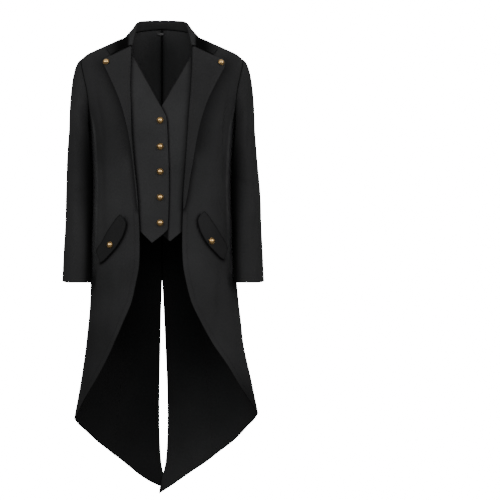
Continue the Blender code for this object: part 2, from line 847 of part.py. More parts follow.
def collar(finish):
    """One band round the neck: the stand, the crease and the leaf that falls over it."""
    back = along_edge(BACK_NECK, NECK_COLUMNS, False)
    front = along_edge(FRONT_NECK, NECK_COLUMNS, True)
    turn = np.concatenate([back[0][::-1], front[0][1:]])
    fall = np.concatenate([back[2][::-1], front[2][1:]])
    neckline, normals = surface(turn, fall), normal(turn, fall)
    inwards = unit(np.cross(normals, tangents(neckline)))
    inwards *= np.sign(np.sum(inwards * (-neckline * (1, 1, 0) + (0, 0, 40)), axis=-1, keepdims=True))
    creases = np.array([row[:3] for row in COLLAR], float)
    running = tangents(creases)
    running[0] = (1, 0, 0)
    rows = []
    for start, lift, inward, crease, run, row in zip(
        neckline, normals, inwards, creases, running, COLLAR
    ):
        edge = laid(row.edge_x, row.edge_z, row.front, LEAF_OUT)[0]
        stand, leaf = unit(start - crease), unit(edge - crease)
        up = -unit(stand + leaf - run * (run @ (stand + leaf)))
        out = np.cross(up, run)
        upright, level = abs(stand @ lift), max(-stand @ inward, 0)
        start = start + inward * (NECK_SEAM + COLLAR_CLOTH * upright) - lift * CLOTH * level
        before, after = crease - out * COLLAR_ROLL, crease + out * COLLAR_ROLL
        rows.append([
            start,
            (start + before) / 2 - out * 0.5,
            before,
            crease + COLLAR_ROLL * (0.75 * up - 0.7 * out),
            crease + COLLAR_ROLL * up,
            crease + COLLAR_ROLL * (0.75 * up + 0.7 * out),
            after,
            after * 0.66 + edge * 0.34 + out * LEAF_BOW,
            after * 0.33 + edge * 0.67 + out * LEAF_BOW,
            edge,
        ])
    left = np.array(rows)
    grid = np.concatenate([(left * (-1, 1, 1))[:0:-1], left])
    down, across = np.gradient(grid, axis=0), np.gradient(grid, axis=1)
    normals = unit(np.cross(down, across))
    return wall("collar", grid, grid - normals * COLLAR_CLOTH, finish)


def lapel(side, sign, finish):
    rows = np.array(LAPEL, float)
    roll = np.array(LAPEL_ROLL, float)
    crease_x = curve(FRONT_EDGE, "z", "x")(rows[:, 0])
    share, inwards, out = roll.T
    width = rows[:, 1] - crease_x
    rolled = np.clip(width / LAPEL_FLAT_WIDTH - 0.25, 0, 1)[:, None]
    x = crease_x[:, None] + width[:, None] * share - inwards * rolled - 0.1 * (1 - rolled) * inwards
    z = rows[:, 0][:, None] + (rows[:, 2] - rows[:, 0])[:, None] * share
    out = LAPEL_OUT + (out - LAPEL_OUT) * rolled
    out = out + LAPEL_SHOULDER_OUT * smoothstep(z, -150, -90)
    return laid_sheet(f"lapel_{side}", x * sign, z, True, out, finish, CLOTH, rolled[..., None])


def vest_half(name, edge, hem, out, sign, finish):
    """One half of the waistcoat front, from its hidden margin to its edge at the centre."""
    rows = np.array(edge, float)
    outer_z = rows[:, 1] + (hem[0].z - rows[-1, 1]) * np.linspace(0, 1, len(rows))
    outer_x = sign * (curve(FRONT_EDGE, "z", "x")(outer_z) + VEST_MARGIN)
    share = np.linspace(0, 1, 7)
    x = outer_x[:, None] * (1 - share) + rows[:, 0][:, None] * share
    z = outer_z[:, None] * (1 - share) + rows[:, 1][:, None] * share
    lower = fade(len(rows), len(rows) - 1 - VEST_HEM_ROWS, len(rows) - 1)[:, None]
    points = np.array(hem, float)
    x = x + lower * (np.interp(share, points[:, 0], points[:, 1]) - x[-1])
    z = z + lower * (np.interp(share, points[:, 0], points[:, 2]) - z[-1])
    return laid_sheet(name, x, z, True, np.full(x.shape, float(out)), finish, VEST_CLOTH)


def pocket_flap(side, sign, finish):
    rows = np.array(FLAP, float)
    share = np.linspace(0, 1, len(FLAP_OUT))
    x = rows[:, 0][:, None] * (1 - share) + rows[:, 2][:, None] * share
    z = rows[:, 1][:, None] * (1 - share) + rows[:, 3][:, None] * share
    out = np.broadcast_to(np.array(FLAP_OUT), x.shape)
    return laid_sheet(f"pocket_flap_{side}", x * sign, z, True, out, finish)


def back_belt(finish):
    share = np.linspace(-1, 1, BELT_COLUMNS + 1)
    along = np.sin(share * math.pi / 2) * 0.35 + share * 0.65
    up = np.linspace(0.5, -0.5, BELT_ROWS + 1)[:, None]
    tall = BELT_HEIGHT * (1 - np.abs(along) ** 9) ** 0.5 * 0.97 + BELT_HEIGHT * 0.03
    x = np.broadcast_to(along * BELT_LENGTH / 2, (BELT_ROWS + 1, BELT_COLUMNS + 1))
    z = BELT_Z + up * tall + BELT_SAG * (along**2 - 0.5)
    out = BELT_OUT + 0.8 * np.cos(up * math.pi) * np.ones_like(x)
    return laid_sheet("back_belt", x, z, False, out, finish)


def neck_label(finish):
    x = np.broadcast_to(LABEL_X + LABEL_WIDTH * np.array([-0.5, -0.1, 0.3, 0.5]), (2, 4))
    z = np.broadcast_to(LABEL_Z + LABEL_HEIGHT * np.array([[0.5], [-0.5]]), (2, 4))
    out = np.full(x.shape, -CLOTH - 3 * LAID_ON)
    return laid_sheet("neck_label", x, z, False, out, finish, LABEL_CLOTH)


def body_button(name, x, z, front, out, finish, diameter=BUTTON):
    foot, axis = laid(x, z, front, out)
    return turned(name, foot, axis, diameter, finish)


def cuff_buttons(side, mirror, finish):
    hem_way = HEAD_WAY + ARM[0].z - ARM[-1].z
    for number, rise in enumerate(CUFF_BUTTON_RISES, 1):
        place = np.array(float(CUFF_BUTTON_ANGLE)), np.array(hem_way - rise)
        foot, axis = sleeve_surface(*place), sleeve_normal(*place)
        if mirror:
            foot, axis = foot * (-1, 1, 1), axis * (-1, 1, 1)
        turned(f"cuff_button_{side}_{number}", foot, axis, CUFF_BUTTON, finish)


def build():
    clear_scene("Tailcoat")
    cloth = material("black_twill", (0.022, 0.022, 0.023), 0.75)
    vest_cloth = material("vest_twill", (0.028, 0.028, 0.030), 0.75)
    gold = material("antique_gold", (0.62, 0.42, 0.16), 0.35, 1.0)
    woven = material("label_weave", (0.03, 0.03, 0.03), 0.7)
    for side, sign in (("left", 1), ("right", -1)):
        mirror = sign < 0
        seams = ["first_column", "last_row"]
        panel(f"front_{side}", front_grid(), seams, cloth, mirror)
        seams = ["first_column", "last_column", "last_row"]
        panel(f"side_back_{side}", side_back_grid(), seams, cloth, mirror)
        panel(f"back_{side}", back_grid(), seams, cloth, mirror)
        sleeves(side, cloth, mirror)
        lapel(side, sign, cloth)
        pocket_flap(side, sign, cloth)
        body_button(f"lapel_button_{side}", LAPEL_BUTTON.x * sign, LAPEL_BUTTON.z, True, 5.7, gold)
        body_button(f"flap_button_{side}", FLAP_BUTTON.x * sign, FLAP_BUTTON.z, True, 3.9, gold)
        body_button(f"belt_button_{side}", BELT_BUTTON_X * sign, BELT_Z, False, BELT_OUT + 1.2, gold)
        cuff_buttons(side, mirror, gold)
    collar(cloth)
    vest_half("vest_right", VEST_OVER, VEST_OVER_HEM, VEST_OUT, -1, vest_cloth)
    vest_half("vest_left", VEST_UNDER, VEST_UNDER_HEM, VEST_UNDER_OUT, 1, vest_cloth)
    for number, z in enumerate(VEST_BUTTON_Z, 1):
        body_button(f"vest_button_{number}", VEST_BUTTON_X, z, True, VEST_OUT, gold)
    back_belt(cloth)
    neck_label(woven)


build()
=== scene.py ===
"""Looks of a black steampunk tailcoat with a sewn-in waistcoat front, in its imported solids' frame."""

from collections import namedtuple
import math

import bpy
import numpy as np
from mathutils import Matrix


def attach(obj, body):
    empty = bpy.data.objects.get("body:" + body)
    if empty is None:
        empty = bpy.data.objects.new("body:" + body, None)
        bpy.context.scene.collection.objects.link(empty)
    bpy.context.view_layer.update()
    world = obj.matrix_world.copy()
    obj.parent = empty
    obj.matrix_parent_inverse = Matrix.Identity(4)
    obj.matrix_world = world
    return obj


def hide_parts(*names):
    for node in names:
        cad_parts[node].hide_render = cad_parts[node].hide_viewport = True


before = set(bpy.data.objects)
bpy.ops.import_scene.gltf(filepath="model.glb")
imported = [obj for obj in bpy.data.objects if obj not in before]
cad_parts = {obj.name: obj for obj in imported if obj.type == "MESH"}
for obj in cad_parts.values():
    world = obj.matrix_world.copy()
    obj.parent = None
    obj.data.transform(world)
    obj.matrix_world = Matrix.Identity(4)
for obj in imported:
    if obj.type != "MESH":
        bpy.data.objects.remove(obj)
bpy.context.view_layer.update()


# ------------------------------------------------------------------ backs and tails
# Two pieces of black polyester twill, each cut in one from the shoulder seam to the tail's point,
# sewn together down the middle as far as the vent, and hemmed by machine round the tail.

MM = 0.001
CLOTH = 2.0
SIDES = (("left", 1), ("right", -1))


def table(columns, *rows):
    """Rows of numbers whose columns have these names."""
    row = namedtuple("Row", columns)
    return tuple(row(*values) for values in rows)


BODY = table(
    "z half_width front back",
    (60, 235, 58, 60), (12, 235, 66, 68), (-40, 235, 82, 84), (-90, 233, 101, 98),
    (-145, 225, 114, 108), (-190, 215, 120, 111), (-245, 201, 122, 109), (-320, 194, 118, 101),
    (-401, 190.5, 111, 93), (-470, 191.5, 111, 97), (-547, 194, 114, 106), (-620, 195.5, 117, 113),
    (-682, 198, 119, 118), (-760, 203, 121, 123), (-843, 214.5, 123, 128), (-971, 238, 127, 136),
    (-1056, 254.5, 130, 142), (-1150, 270, 134, 148), (-1270, 288, 138, 155),
)
SQUARENESS = 2.3

SHOULDER = table(
    "x z",
    (0, 112), (20, 92), (40, 62), (60, 26), (75, 2), (92, -7), (110, -12), (145, -27.5),
    (170, -38.5), (190, -47.5), (206, -55.5), (219, -66), (236, -81),
)
RIDGE_HALF_WIDTH = 235
RIDGE_Y = 5
ROUNDING = 110
SHOULDER_POINT_X = 224
NECK_POINT_X = 75

ARMHOLE = table(
    "angle degrees",
    (0, 18.84), (30, 19.2), (60, 21.8), (90, 23.5), (135, 16), (160, 7.5), (180, 0),
)
UNDERARM_Z = -245
SIDE_BACK_MEETS_ARMHOLE = 250

HEM = table(
    "x z",
    (254.5, -1050), (244, -1066), (225, -1085), (200, -1109.5), (150, -1146), (91, -1189),
    (36, -1229), (0.4, -1252),
)
SIDE_TIP_Z = -1048
BLADE_Z = -300
BACK_NECK = table("x z", (75, 2), (69, 4), (60, 6), (40, 9), (20, 11), (0, 12))
VENT = table(
    "x z",
    (0, 12), (0, -676), (3.4, -760), (7.2, -870), (11, -1007), (11, -1080), (7, -1165), (2, -1210),
    (0.4, -1252),
)
SIDE_BACK_SEAM = table(
    "turn z",
    (27, -1157), (27, -1000), (26, -800), (25, -600), (23.5, -480), (23, -406), (27, -350),
    (41, -275), (54, -220),
)
SWAY = 12
SWAY_MIDDLE = 0.35
SWAY_SIDES = (0.5, 0.8)
TILT = 0.03
SWAY_TOP_Z = -570
SWAY_BOTTOM_Z = -1080
TIP_SPREAD_Y = 3.2
TIP_CROSSING = 5
LEFT_TIP_CROSSING = 13
TIP_DROP = 16
TIP_SPREAD_Z = -1180

# Broad folds that both sides share, by turn from the centre back, and creases of one side only
FOLDS = table(
    "turn lean top bottom width depth",
    (116, 0.00, -200, -560, 5, -2.5), (128, 0.01, -330, -900, 7, -2.5),
    (108, -0.01, -560, -1040, 12, 3.2), (140, 0.03, -640, -900, 7, 2.5),
    (72, -0.03, -330, -760, 6, -5), (60, -0.02, -480, -1080, 9, 4), (44, 0.00, -560, -1120, 7, -4),
    (14, 0.00, -600, -1200, 6, 3), (48, 0.02, -120, -330, 6, 2.5),
)
CREASES = table(
    "turn z to_turn to_z width depth",
    # wearer's right front
    (218, -85, 206, -370, 17, -5), (224, -60, 230, -560, 20, 2.6), (233, -150, 236, -300, 8, -2.4),
    (240, -290, 238, -640, 13, -3.4), (205, -560, 213, -800, 16, 2.4),
    (222, -640, 236, -1000, 28, -4), (243, -690, 247, -1040, 24, 2.6),
    # wearer's left front
    (143, -95, 153, -360, 19, -5.5), (133, -90, 131, -580, 16, 2.2),
    (127, -150, 121, -330, 8, -3.4), (130, -205, 124, -310, 6, 1.8),
    (138, -330, 140, -480, 13, 2.2), (120, -610, 141, -870, 28, -5),
    (112, -700, 129, -950, 27, 3.4), (104, -790, 112, -1030, 24, -2.4),
    (150, -600, 150, -760, 17, 2),
    # wearer's left back
    (57, -95, 54, -260, 9, -3), (90, -600, 92, -860, 40, 6), (36, -110, 30, -330, 20, 2.6),
    (46, -330, 33, -470, 10, -2.4), (17, -430, 12, -640, 16, -2), (50, -600, 58, -1020, 16, -4),
    (30, -700, 34, -1120, 15, 3.4), (8, -800, 9, -1100, 12, -1.8),
    # wearer's right back
    (302, -95, 306, -300, 10, -4), (320, -120, 326, -340, 18, 2.4),
    (331, -325, 306, -500, 11, -4.2), (338, -400, 318, -560, 12, 2.2),
    (300, -560, 296, -900, 15, 3.6), (317, -660, 310, -1080, 17, -4.6),
    (341, -720, 336, -1140, 16, -2.6), (352, -640, 350, -960, 12, 2),
)
GIRTH_PER_DEGREE = 2.9
CREASES_FROM = 60
LEAST_RADIUS = 60
STEEP_SIDE = 0.75
SOFT_SIDE = 1.35
CREASE_END = -0.08
CREASE_FULL = 0.35
RIPPLES = table(
    "depth waves slant phase rate start twist",
    (0.45, 7, 0.013, 0, 0.017, 1.1, 0), (0.25, 19, -0.009, 0.4, 0.041, 0, 2),
)

# Painted shade on the inside: how dark it lies at the neck and its middle seam, at the waist, and low
# in each tail; below 0, as at the neck, the cloth is painted lighter
NECK_SHADE = -0.62
NECK_SEAM_SHADE = 0.35
NECK_SEAM_REACH = 7
DEEP = 0.6
DEEP_Z = (-120, -480)
LOW_LEFT = 0.22
LOW_RIGHT = 0.6
LOW_Z = (-820, -1160)
HEM_SHADE = 0.9
HEM_SHADE_MM = (6, 1.5)
# How many times lighter than its own colours painted light may make the cloth
MOST_PAINTED_LIGHT = 5


def through(xs, ys):
    """A smooth function through values at rising xs; each value may be a row of numbers."""
    xs, ys = np.asarray(xs, float), np.asarray(ys, float)
    slopes = np.gradient(ys, xs, axis=0)

    def read(at):
        at = np.asarray(at, float)
        i = np.clip(np.searchsorted(xs, at) - 1, 0, len(xs) - 2)
        spread = at.shape + (1,) * (ys.ndim - 1)
        step = (xs[i + 1] - xs[i]).reshape(spread)
        t = ((at - xs[i]) / (xs[i + 1] - xs[i])).reshape(spread)
        inside = np.clip(t, 0, 1)
        rise = ys[i + 1] - ys[i]
        cubic = ys[i] + inside * step * slopes[i] + inside**2 * (
            3 * rise - step * (2 * slopes[i] + slopes[i + 1])
        ) + inside**3 * (step * (slopes[i] + slopes[i + 1]) - 2 * rise)
        return cubic + (t - inside) * step * np.where(t > 1, slopes[i + 1], slopes[i])

    return read


def curve(rows, key, value):
    """A smooth function through two columns of a table."""
    return through(*zip(*sorted((getattr(row, key), getattr(row, value)) for row in rows)))


half_width = curve(BODY, "z", "half_width")
front_depth = curve(BODY, "z", "front")
back_depth = curve(BODY, "z", "back")
shoulder_line = curve(SHOULDER, "x", "z")
armhole_spread = curve(ARMHOLE, "angle", "degrees")


class Swell:
    """A smooth rise of a given height around one place on a line."""

    def __init__(self, middle, reach, height):
        self.middle, self.reach, self.height = middle, reach, height

    def read(self, at):
        return self.height * np.exp(-(((at - self.middle) / self.reach) ** 2))


LEFT_DROP = Swell(125, 75, 15)
RIGHT_DROP = Swell(-55, 50, 9)
DROP_FROM_Z = -960
DROP_FULL_Z = -1110


def smoothstep(x, start, end):
    t = np.clip((np.asarray(x, float) - start) / (end - start), 0, 1)
    return t * t * (3 - 2 * t)


def unit(vectors):
    return vectors / np.linalg.norm(vectors, axis=-1, keepdims=True)


def oval(angle_part):
    """A sine or cosine made squarer, as the body's rounds are."""
    return np.sign(angle_part) * np.abs(angle_part) ** (2 / SQUARENESS)


def ridge(turn):
    """The shoulder line's height above the place at this turn."""
    return shoulder_line(RIDGE_HALF_WIDTH * np.abs(oval(np.sin(np.radians(turn)))))


def height(turn, fall):
    """How high a place is, by its turn and its way down the cloth from the shoulder line."""
    over = ROUNDING * (1 - np.cos(np.clip(np.abs(fall) / ROUNDING, 0, math.pi / 2)))
    return ridge(turn) - over - np.maximum(np.abs(fall) - ROUNDING * math.pi / 2, 0)


def fall_at(turn, z):
    """The way down the cloth to this height."""
    drop = np.maximum(ridge(turn) - z, 0)
    over = ROUNDING * np.arccos(np.clip(1 - drop / ROUNDING, 0, 1))
    return over + np.maximum(drop - ROUNDING, 0)


def turn_at(x, z, front):
    """The turn of a place seen at x and z from the front or from behind, 0 at the centre back."""
    part = np.clip(np.abs(x) / half_width(z), 0, 1) ** (SQUARENESS / 2)
    angle = np.degrees(np.arcsin(part))
    turn = 180 - angle if front else angle
    return np.where(np.asarray(x) < -1e-6, 360 - turn, turn)


def across_at(turn, z):
    """How far out one place at this turn and height lies."""
    return float(half_width(z) * oval(np.sin(np.radians(turn))))


def folds_at(turn, z):
    """The push of the broad folds at a place, the same on both sides."""
    side = 180 - np.abs(180 - np.mod(turn, 360))
    out = np.zeros(np.broadcast(turn, z).shape)
    for fold in FOLDS:
        middle = (fold.top + fold.bottom) / 2
        across = (side - fold.turn - fold.lean * (z - middle)) / fold.width
        along = smoothstep(z, fold.bottom, middle) * smoothstep(z, fold.top, middle)
        out = out + fold.depth * np.exp(-across**2) * along
    return out


def crease_push(side, level, run, drop, width, depth):
    """A soft crease along a line: steeper on one side, and fading at both its ends."""
    length = math.hypot(run, drop)
    along = (side * run + level * drop) / length**2
    across = (side * drop - level * run) / length
    wide = width * np.where(across > 0, SOFT_SIDE, STEEP_SIDE)
    ends = smoothstep(along, CREASE_END, CREASE_FULL) * smoothstep(along, 1 - CREASE_END, 1 - CREASE_FULL)
    return depth * np.exp(-((across / wide) ** 2)) * ends


def creases_at(turn, z):
    """The creases' push at a place, with two faint ripples that run all over the cloth."""
    out = np.zeros(np.broadcast(turn, z).shape)
    for crease in CREASES:
        side = (np.mod(turn - crease.turn + 180, 360) - 180) * GIRTH_PER_DEGREE
        run = (crease.to_turn - crease.turn) * GIRTH_PER_DEGREE
        drop = crease.to_z - crease.z
        out = out + crease_push(side, z - crease.z, run, drop, crease.width, crease.depth)
    around = np.radians(turn)
    for ripple in RIPPLES:
        wave = np.sin(ripple.waves * around + z * ripple.slant + ripple.phase)
        rise = np.sin(z * ripple.rate + ripple.start + ripple.twist * around)
        out = out + ripple.depth * wave * rise
    return out


def surface(turn, fall, side=None):
    """Points on the coat's outside, by turn round the figure and fall from the shoulder line."""
    turn, fall = np.broadcast_arrays(np.asarray(turn, float), np.asarray(fall, float))
    if side is None:
        side = np.where(turn > 180, -1, 1)
    z = height(turn, fall)
    rounded = np.sin(np.clip(fall / ROUNDING, -math.pi / 2, math.pi / 2))
    sine, cosine = np.sin(np.radians(turn)), np.cos(np.radians(turn))
    depth = np.where(cosine > 0, back_depth(z), front_depth(z))
    x = half_width(z) * oval(sine)
    y = RIDGE_Y * (1 - np.abs(rounded)) + depth * oval(cosine) * rounded
    push = folds_at(turn, z) + creases_at(turn, z) * smoothstep(np.abs(fall), 0, CREASES_FROM)
    grow = 1 + push / np.hypot(x, y).clip(LEAST_RADIUS)
    hang = smoothstep(z, SWAY_TOP_Z, SWAY_BOTTOM_Z)
    sides = smoothstep(np.abs(oval(sine)), *SWAY_SIDES)
    sway = SWAY * hang * (SWAY_MIDDLE + (1 - SWAY_MIDDLE) * sides)
    tip = smoothstep(z, TIP_SPREAD_Z, HEM[-1].z)
    spread = -side * TIP_SPREAD_Y * tip
    lower = TILT * x * hang - np.where(side > 0, TIP_DROP, 0) * tip
    sway = sway - np.where(side > 0, LEFT_TIP_CROSSING, -TIP_CROSSING) * tip
    drop = np.where(side > 0, LEFT_DROP.read(x), RIGHT_DROP.read(x))
    lower = lower - drop * smoothstep(z, DROP_FROM_Z, DROP_FULL_Z) * (cosine > 0)
    return np.stack([x * grow + sway, y * grow + spread, z + lower], axis=-1)


def body_normal(turn, fall):
    """The way out of the cloth at a place."""
    side = np.where(np.asarray(turn) > 180, -1, 1)
    along = surface(turn + 0.05, fall, side) - surface(turn - 0.05, fall, side)
    down = surface(turn, fall + 1, side) - surface(turn, fall - 1, side)
    return unit(np.cross(along, down))


RIM = 1.2


def stations(count, length, start=True, end=True):
    """Even shares of a length, with one more just inside each end that has a rounded edge."""
    share = np.linspace(0, 1, count + 1)
    near = RIM / length
    first = [0, near] if start else [0]
    last = [1 - near, 1] if end else [1]
    return np.concatenate([first, share[1:-1], last])


def seam_line(turn, z):
    """The turns, heights and falls of a line's places."""
    turn, z = np.broadcast_arrays(np.asarray(turn, float), np.asarray(z, float))
    fall = fall_at(turn, z)
    return turn, height(turn, fall), fall


def joined(*lines):
    """Lines end to end as one, without the places that they share."""
    return tuple(
        np.concatenate([line[k] if n == 0 else line[k][1:] for n, line in enumerate(lines)])
        for k in range(3)
    )


def along_edge(rows, share, front):
    """Places at these shares of an edge's length, the edge drawn as seen from the front."""
    xs = np.array([row.x for row in rows], float)
    zs = np.array([row.z for row in rows], float)
    run = np.concatenate([[0], np.cumsum(np.hypot(np.diff(xs), np.diff(zs)))])
    place = through(run, np.stack([xs, zs], axis=-1))
    fine = run[-1] * np.linspace(0, 1, 400)
    x, z = place(fine).T
    turn = turn_at(x, z, front)
    steps = np.linalg.norm(np.diff(surface(turn, fall_at(turn, z)), axis=0), axis=-1)
    length = np.concatenate([[0], np.cumsum(steps)])
    x, z = place(np.interp(length[-1] * np.asarray(share), length, fine)).T
    return seam_line(turn_at(x, z, front), z)


def armhole_line(angles):
    """Places round the armhole, from 0 at the shoulder forwards, under the arm at 180."""
    angles = np.asarray(angles, float)
    half_height = (shoulder_line(SHOULDER_POINT_X) - UNDERARM_Z) / 2
    z = UNDERARM_Z + half_height * (1 + np.cos(np.radians(angles)))
    spread = armhole_spread(180 - np.abs(180 - angles))
    return seam_line(np.where(angles <= 180, 90 + spread, 90 - spread), z)


def side_back_seam(share):
    """The seam from the hem up to the armhole, between a back and its side body."""
    meeting = armhole_line([SIDE_BACK_MEETS_ARMHOLE])
    rows = SIDE_BACK_SEAM + table("turn z", (float(meeting[0][0]), float(meeting[1][0])))
    z = rows[0].z + (rows[-1].z - rows[0].z) * share
    line = seam_line(curve(rows, "z", "turn")(z), z)
    for part, end in zip(line, meeting):
        part[-1] = end[0]
    return line


def shoulder_seam(front, share):
    """The seam from the shoulder point to the neck, on its front's or its back's side."""
    x = SHOULDER_POINT_X + (NECK_POINT_X - SHOULDER_POINT_X) * share
    angle = np.degrees(np.arcsin((x / RIDGE_HALF_WIDTH) ** (SQUARENESS / 2)))
    return (180 - angle if front else angle), shoulder_line(x), np.zeros(x.shape)


def filled(left, right, bottom, top, share, fade_top, fade_bottom):
    """A grid of turns and falls inside four edges."""
    pieces = []
    for k in range(3):
        ends = [edge[k] for edge in (left, right, bottom, top)]
        bow_top = ends[3] - (ends[3][0] * (1 - share) + ends[3][-1] * share)
        bow_bottom = ends[2] - (ends[2][0] * (1 - share) + ends[2][-1] * share)
        rows = ends[0][:, None] * (1 - share) + ends[1][:, None] * share
        pieces.append(rows + fade_top[:, None] * bow_top + fade_bottom[:, None] * bow_bottom)
    turn, z, fall = pieces
    kept = fade_top[:, None]
    return turn, (1 - kept) * fall_at(turn, z) + kept * fall


def run_lengths(grid, axis):
    """How far each point of a grid lies along its row or column."""
    steps = np.linalg.norm(np.diff(grid, axis=axis), axis=-1)
    first = np.zeros_like(np.take(steps, [0], axis=axis))
    return np.concatenate([first, np.cumsum(steps, axis=axis)], axis=axis)


def beside(points, line, reach, strength):
    """Shade that fades with the distance in mm from a line drawn on the front."""
    line = np.asarray(line, float)
    start, step = line[:-1], np.diff(line, axis=0)
    away = points[..., [0, 2]][..., None, :] - start
    t = np.clip(np.sum(away * step, axis=-1) / np.sum(step * step, axis=-1), 0, 1)
    gap = np.linalg.norm(away - t[..., None] * step, axis=-1).min(axis=-1)
    return strength * np.exp(-((gap / reach) ** 2))


def lining_shade(points):
    """Painted shade inside the cloth: painted light at the neck, deep at the waist, less in the tails."""
    x, z = points[..., 0], points[..., 2]
    low = DEEP + (np.where(x > 0, LOW_LEFT, LOW_RIGHT) - DEEP) * smoothstep(z, *LOW_Z)
    neck = NECK_SHADE + (NECK_SEAM_SHADE - NECK_SHADE) * np.exp(-((x / NECK_SEAM_REACH) ** 2))
    return neck + (low - neck) * smoothstep(z, *DEEP_Z)


def tail_shade(points):
    """The same painted shade for a piece that reaches the hem, deeper beside the turned hem's edge."""
    hem = HEM_SHADE * smoothstep(run_lengths(points, 0), *HEM_SHADE_MM)
    return 1 - (1 - lining_shade(points)) * (1 - hem)


ROUNDED_BY = 0.28
FAR = 60.0


def cloth_wall(name, outside, thickness, outwards, seams, hems, finish, slit_z=None,
               shaded=0.0, inner_shaded=0.0, inner_seam=None, tucked=0.0):
    """A thin closed wall of cloth under a grid of outside points in mm, its rim rounded over.

    outwards is the rough way out at each point. seams and hems name the sides that are sewn to
    a neighbour or turned under: top, bottom, first and last. Below slit_z the last side is open.
    shaded and inner_shaded are the shade painted on each face's cloth: 1 is black, 0 is the
    cloth's own colour, and below 0 the cloth is painted lighter.
    inner_seam is a side whose seam shows on the inside; tucked is a top seam's turned-in width.
    """
    rows, columns = outside.shape[:2]
    down, across = np.gradient(outside, axis=0), np.gradient(outside, axis=1)
    normals = unit(np.cross(down, across))
    facing = np.sign(np.sum(normals * outwards))
    normals = normals * facing
    inside = outside - normals * thickness
    rim = [(0, j) for j in range(columns)] + [(i, columns - 1) for i in range(1, rows)]
    rim += [(rows - 1, j) for j in range(columns - 2, -1, -1)]
    rim += [(i, 0) for i in range(rows - 2, 0, -1)]
    at = np.array(rim)
    middle = (outside[at[:, 0], at[:, 1]] + inside[at[:, 0], at[:, 1]]) / 2
    pulls = {side: np.zeros_like(outside) for side in ("bottom", "top", "first", "last")}
    pulls["bottom"][0] = unit(outside[1] - outside[0])
    pulls["top"][-1] = unit(outside[-2] - outside[-1])
    pulls["first"][:, 0] = unit(outside[:, 1] - outside[:, 0])
    pulls["last"][:, -1] = unit(outside[:, -2] - outside[:, -1])
    flush = [side for side in seams if side != inner_seam]
    inside = inside + thickness * ROUNDED_BY * sum(pulls[side] for side in pulls if side not in flush)
    outside = outside + thickness * ROUNDED_BY * sum(pulls.values())

    along_rows, along_columns = run_lengths(outside, 1), run_lengths(outside, 0)
    distance = {
        "first": along_rows,
        "last": along_rows[:, -1:] - along_rows,
        "top": (along_columns[-1:] - along_columns - tucked).clip(0),
        "bottom": along_columns,
    }
    far = np.full((rows, columns), FAR)
    seam_mm = np.minimum.reduce([distance[side] for side in seams] + [far])
    hem_mm = np.minimum.reduce([distance[side] for side in hems] + [far])
    if slit_z is not None:
        sewn = outside[..., 2] > slit_z
        seam_mm = np.where(sewn, np.minimum(seam_mm, distance["last"]), seam_mm)
        hem_mm = np.where(sewn, hem_mm, np.minimum(hem_mm, distance["last"]))
    inner_seam_mm = far
    if inner_seam:
        inner_seam_mm = np.where(outside[..., 2] > (slit_z or 0), distance[inner_seam], far)
    flat = np.stack([along_rows - along_rows.mean(), along_columns], axis=-1) * MM

    index = np.arange(rows * columns).reshape(rows, columns)
    quads = np.stack([index[:-1, :-1], index[:-1, 1:], index[1:, 1:], index[1:, :-1]], axis=-1)
    quads = quads.reshape(-1, 4)
    count = rows * columns
    here = index[at[:, 0], at[:, 1]]
    there = np.roll(here, -1)
    ring = 2 * count + np.arange(len(rim))
    next_ring = np.roll(ring, -1)
    faces = np.concatenate([
        quads,
        quads[:, ::-1] + count,
        np.stack([there, here, ring, next_ring], axis=-1),
        np.stack([next_ring, ring, here + count, there + count], axis=-1),
    ])
    if facing > 0:
        faces = faces[:, ::-1]
    points = np.concatenate([outside.reshape(-1, 3), inside.reshape(-1, 3), middle])

    mesh = bpy.data.meshes.new(name)
    mesh.from_pydata((points * MM).tolist(), [], faces.tolist())
    mesh.shade_smooth()
    uv = np.concatenate([flat.reshape(-1, 2)] * 2 + [flat[at[:, 0], at[:, 1]]])
    layer = mesh.uv_layers.new(name="cloth")
    layer.data.foreach_set("uv", uv[faces.ravel()].ravel())
    shaded = np.broadcast_to(shaded, (rows, columns))
    inner_shaded = np.broadcast_to(inner_shaded, (rows, columns))
    for label, outer, inner in (
        ("seam_mm", seam_mm, inner_seam_mm),
        ("hem_mm", hem_mm, hem_mm),
        ("shaded", shaded, inner_shaded),
    ):
        rim_value = (outer if label == "seam_mm" and inner_seam else inner)[at[:, 0], at[:, 1]]
        spread = np.concatenate([outer.ravel(), inner.ravel(), rim_value])
        mesh.attributes.new(label, "FLOAT", "POINT").data.foreach_set("value", spread)
    mesh.materials.append(finish)
    piece = bpy.data.objects.new(name, mesh)
    bpy.context.scene.collection.objects.link(piece)
    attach(piece, "root")
    return piece


class Wire:
    """A shader socket that can be added, multiplied and raised as if it were a number."""

    def __init__(self, tree, socket):
        self.tree, self.socket = tree, socket

    def maths(self, operation, *values):
        return shade(self.tree, "ShaderNodeMath", {"operation": operation}, dict(enumerate(values)))

    def __add__(self, other):
        return self.maths("ADD", self, other)

    def __sub__(self, other):
        return self.maths("SUBTRACT", self, other)

    def __mul__(self, other):
        return self.maths("MULTIPLY", self, other)

    def __truediv__(self, other):
        return self.maths("DIVIDE", self, other)

    def __rsub__(self, other):
        return self.maths("SUBTRACT", other, self)

    __radd__, __rmul__ = __add__, __mul__


def shade(tree, kind, settings, values, output=0):
    """One node: its settings first, then what its sockets hold or are linked to."""
    node = tree.nodes.new(kind)
    for name, setting in settings.items():
        setattr(node, name, setting)
    for name, value in values.items():
        if isinstance(value, Wire):
            tree.links.new(value.socket, node.inputs[name])
        else:
            node.inputs[name].default_value = value
    return Wire(tree, node.outputs[output])


def new_finish(name, **constants):
    """A material whose Principled shader holds these constants, and its tree and shader."""
    made = bpy.data.materials.new(name)
    made.use_nodes = True
    shader = made.node_tree.nodes["Principled BSDF"]
    for label, value in constants.items():
        shader.inputs[label.replace("_", " ")].default_value = value
    return made, made.node_tree, shader


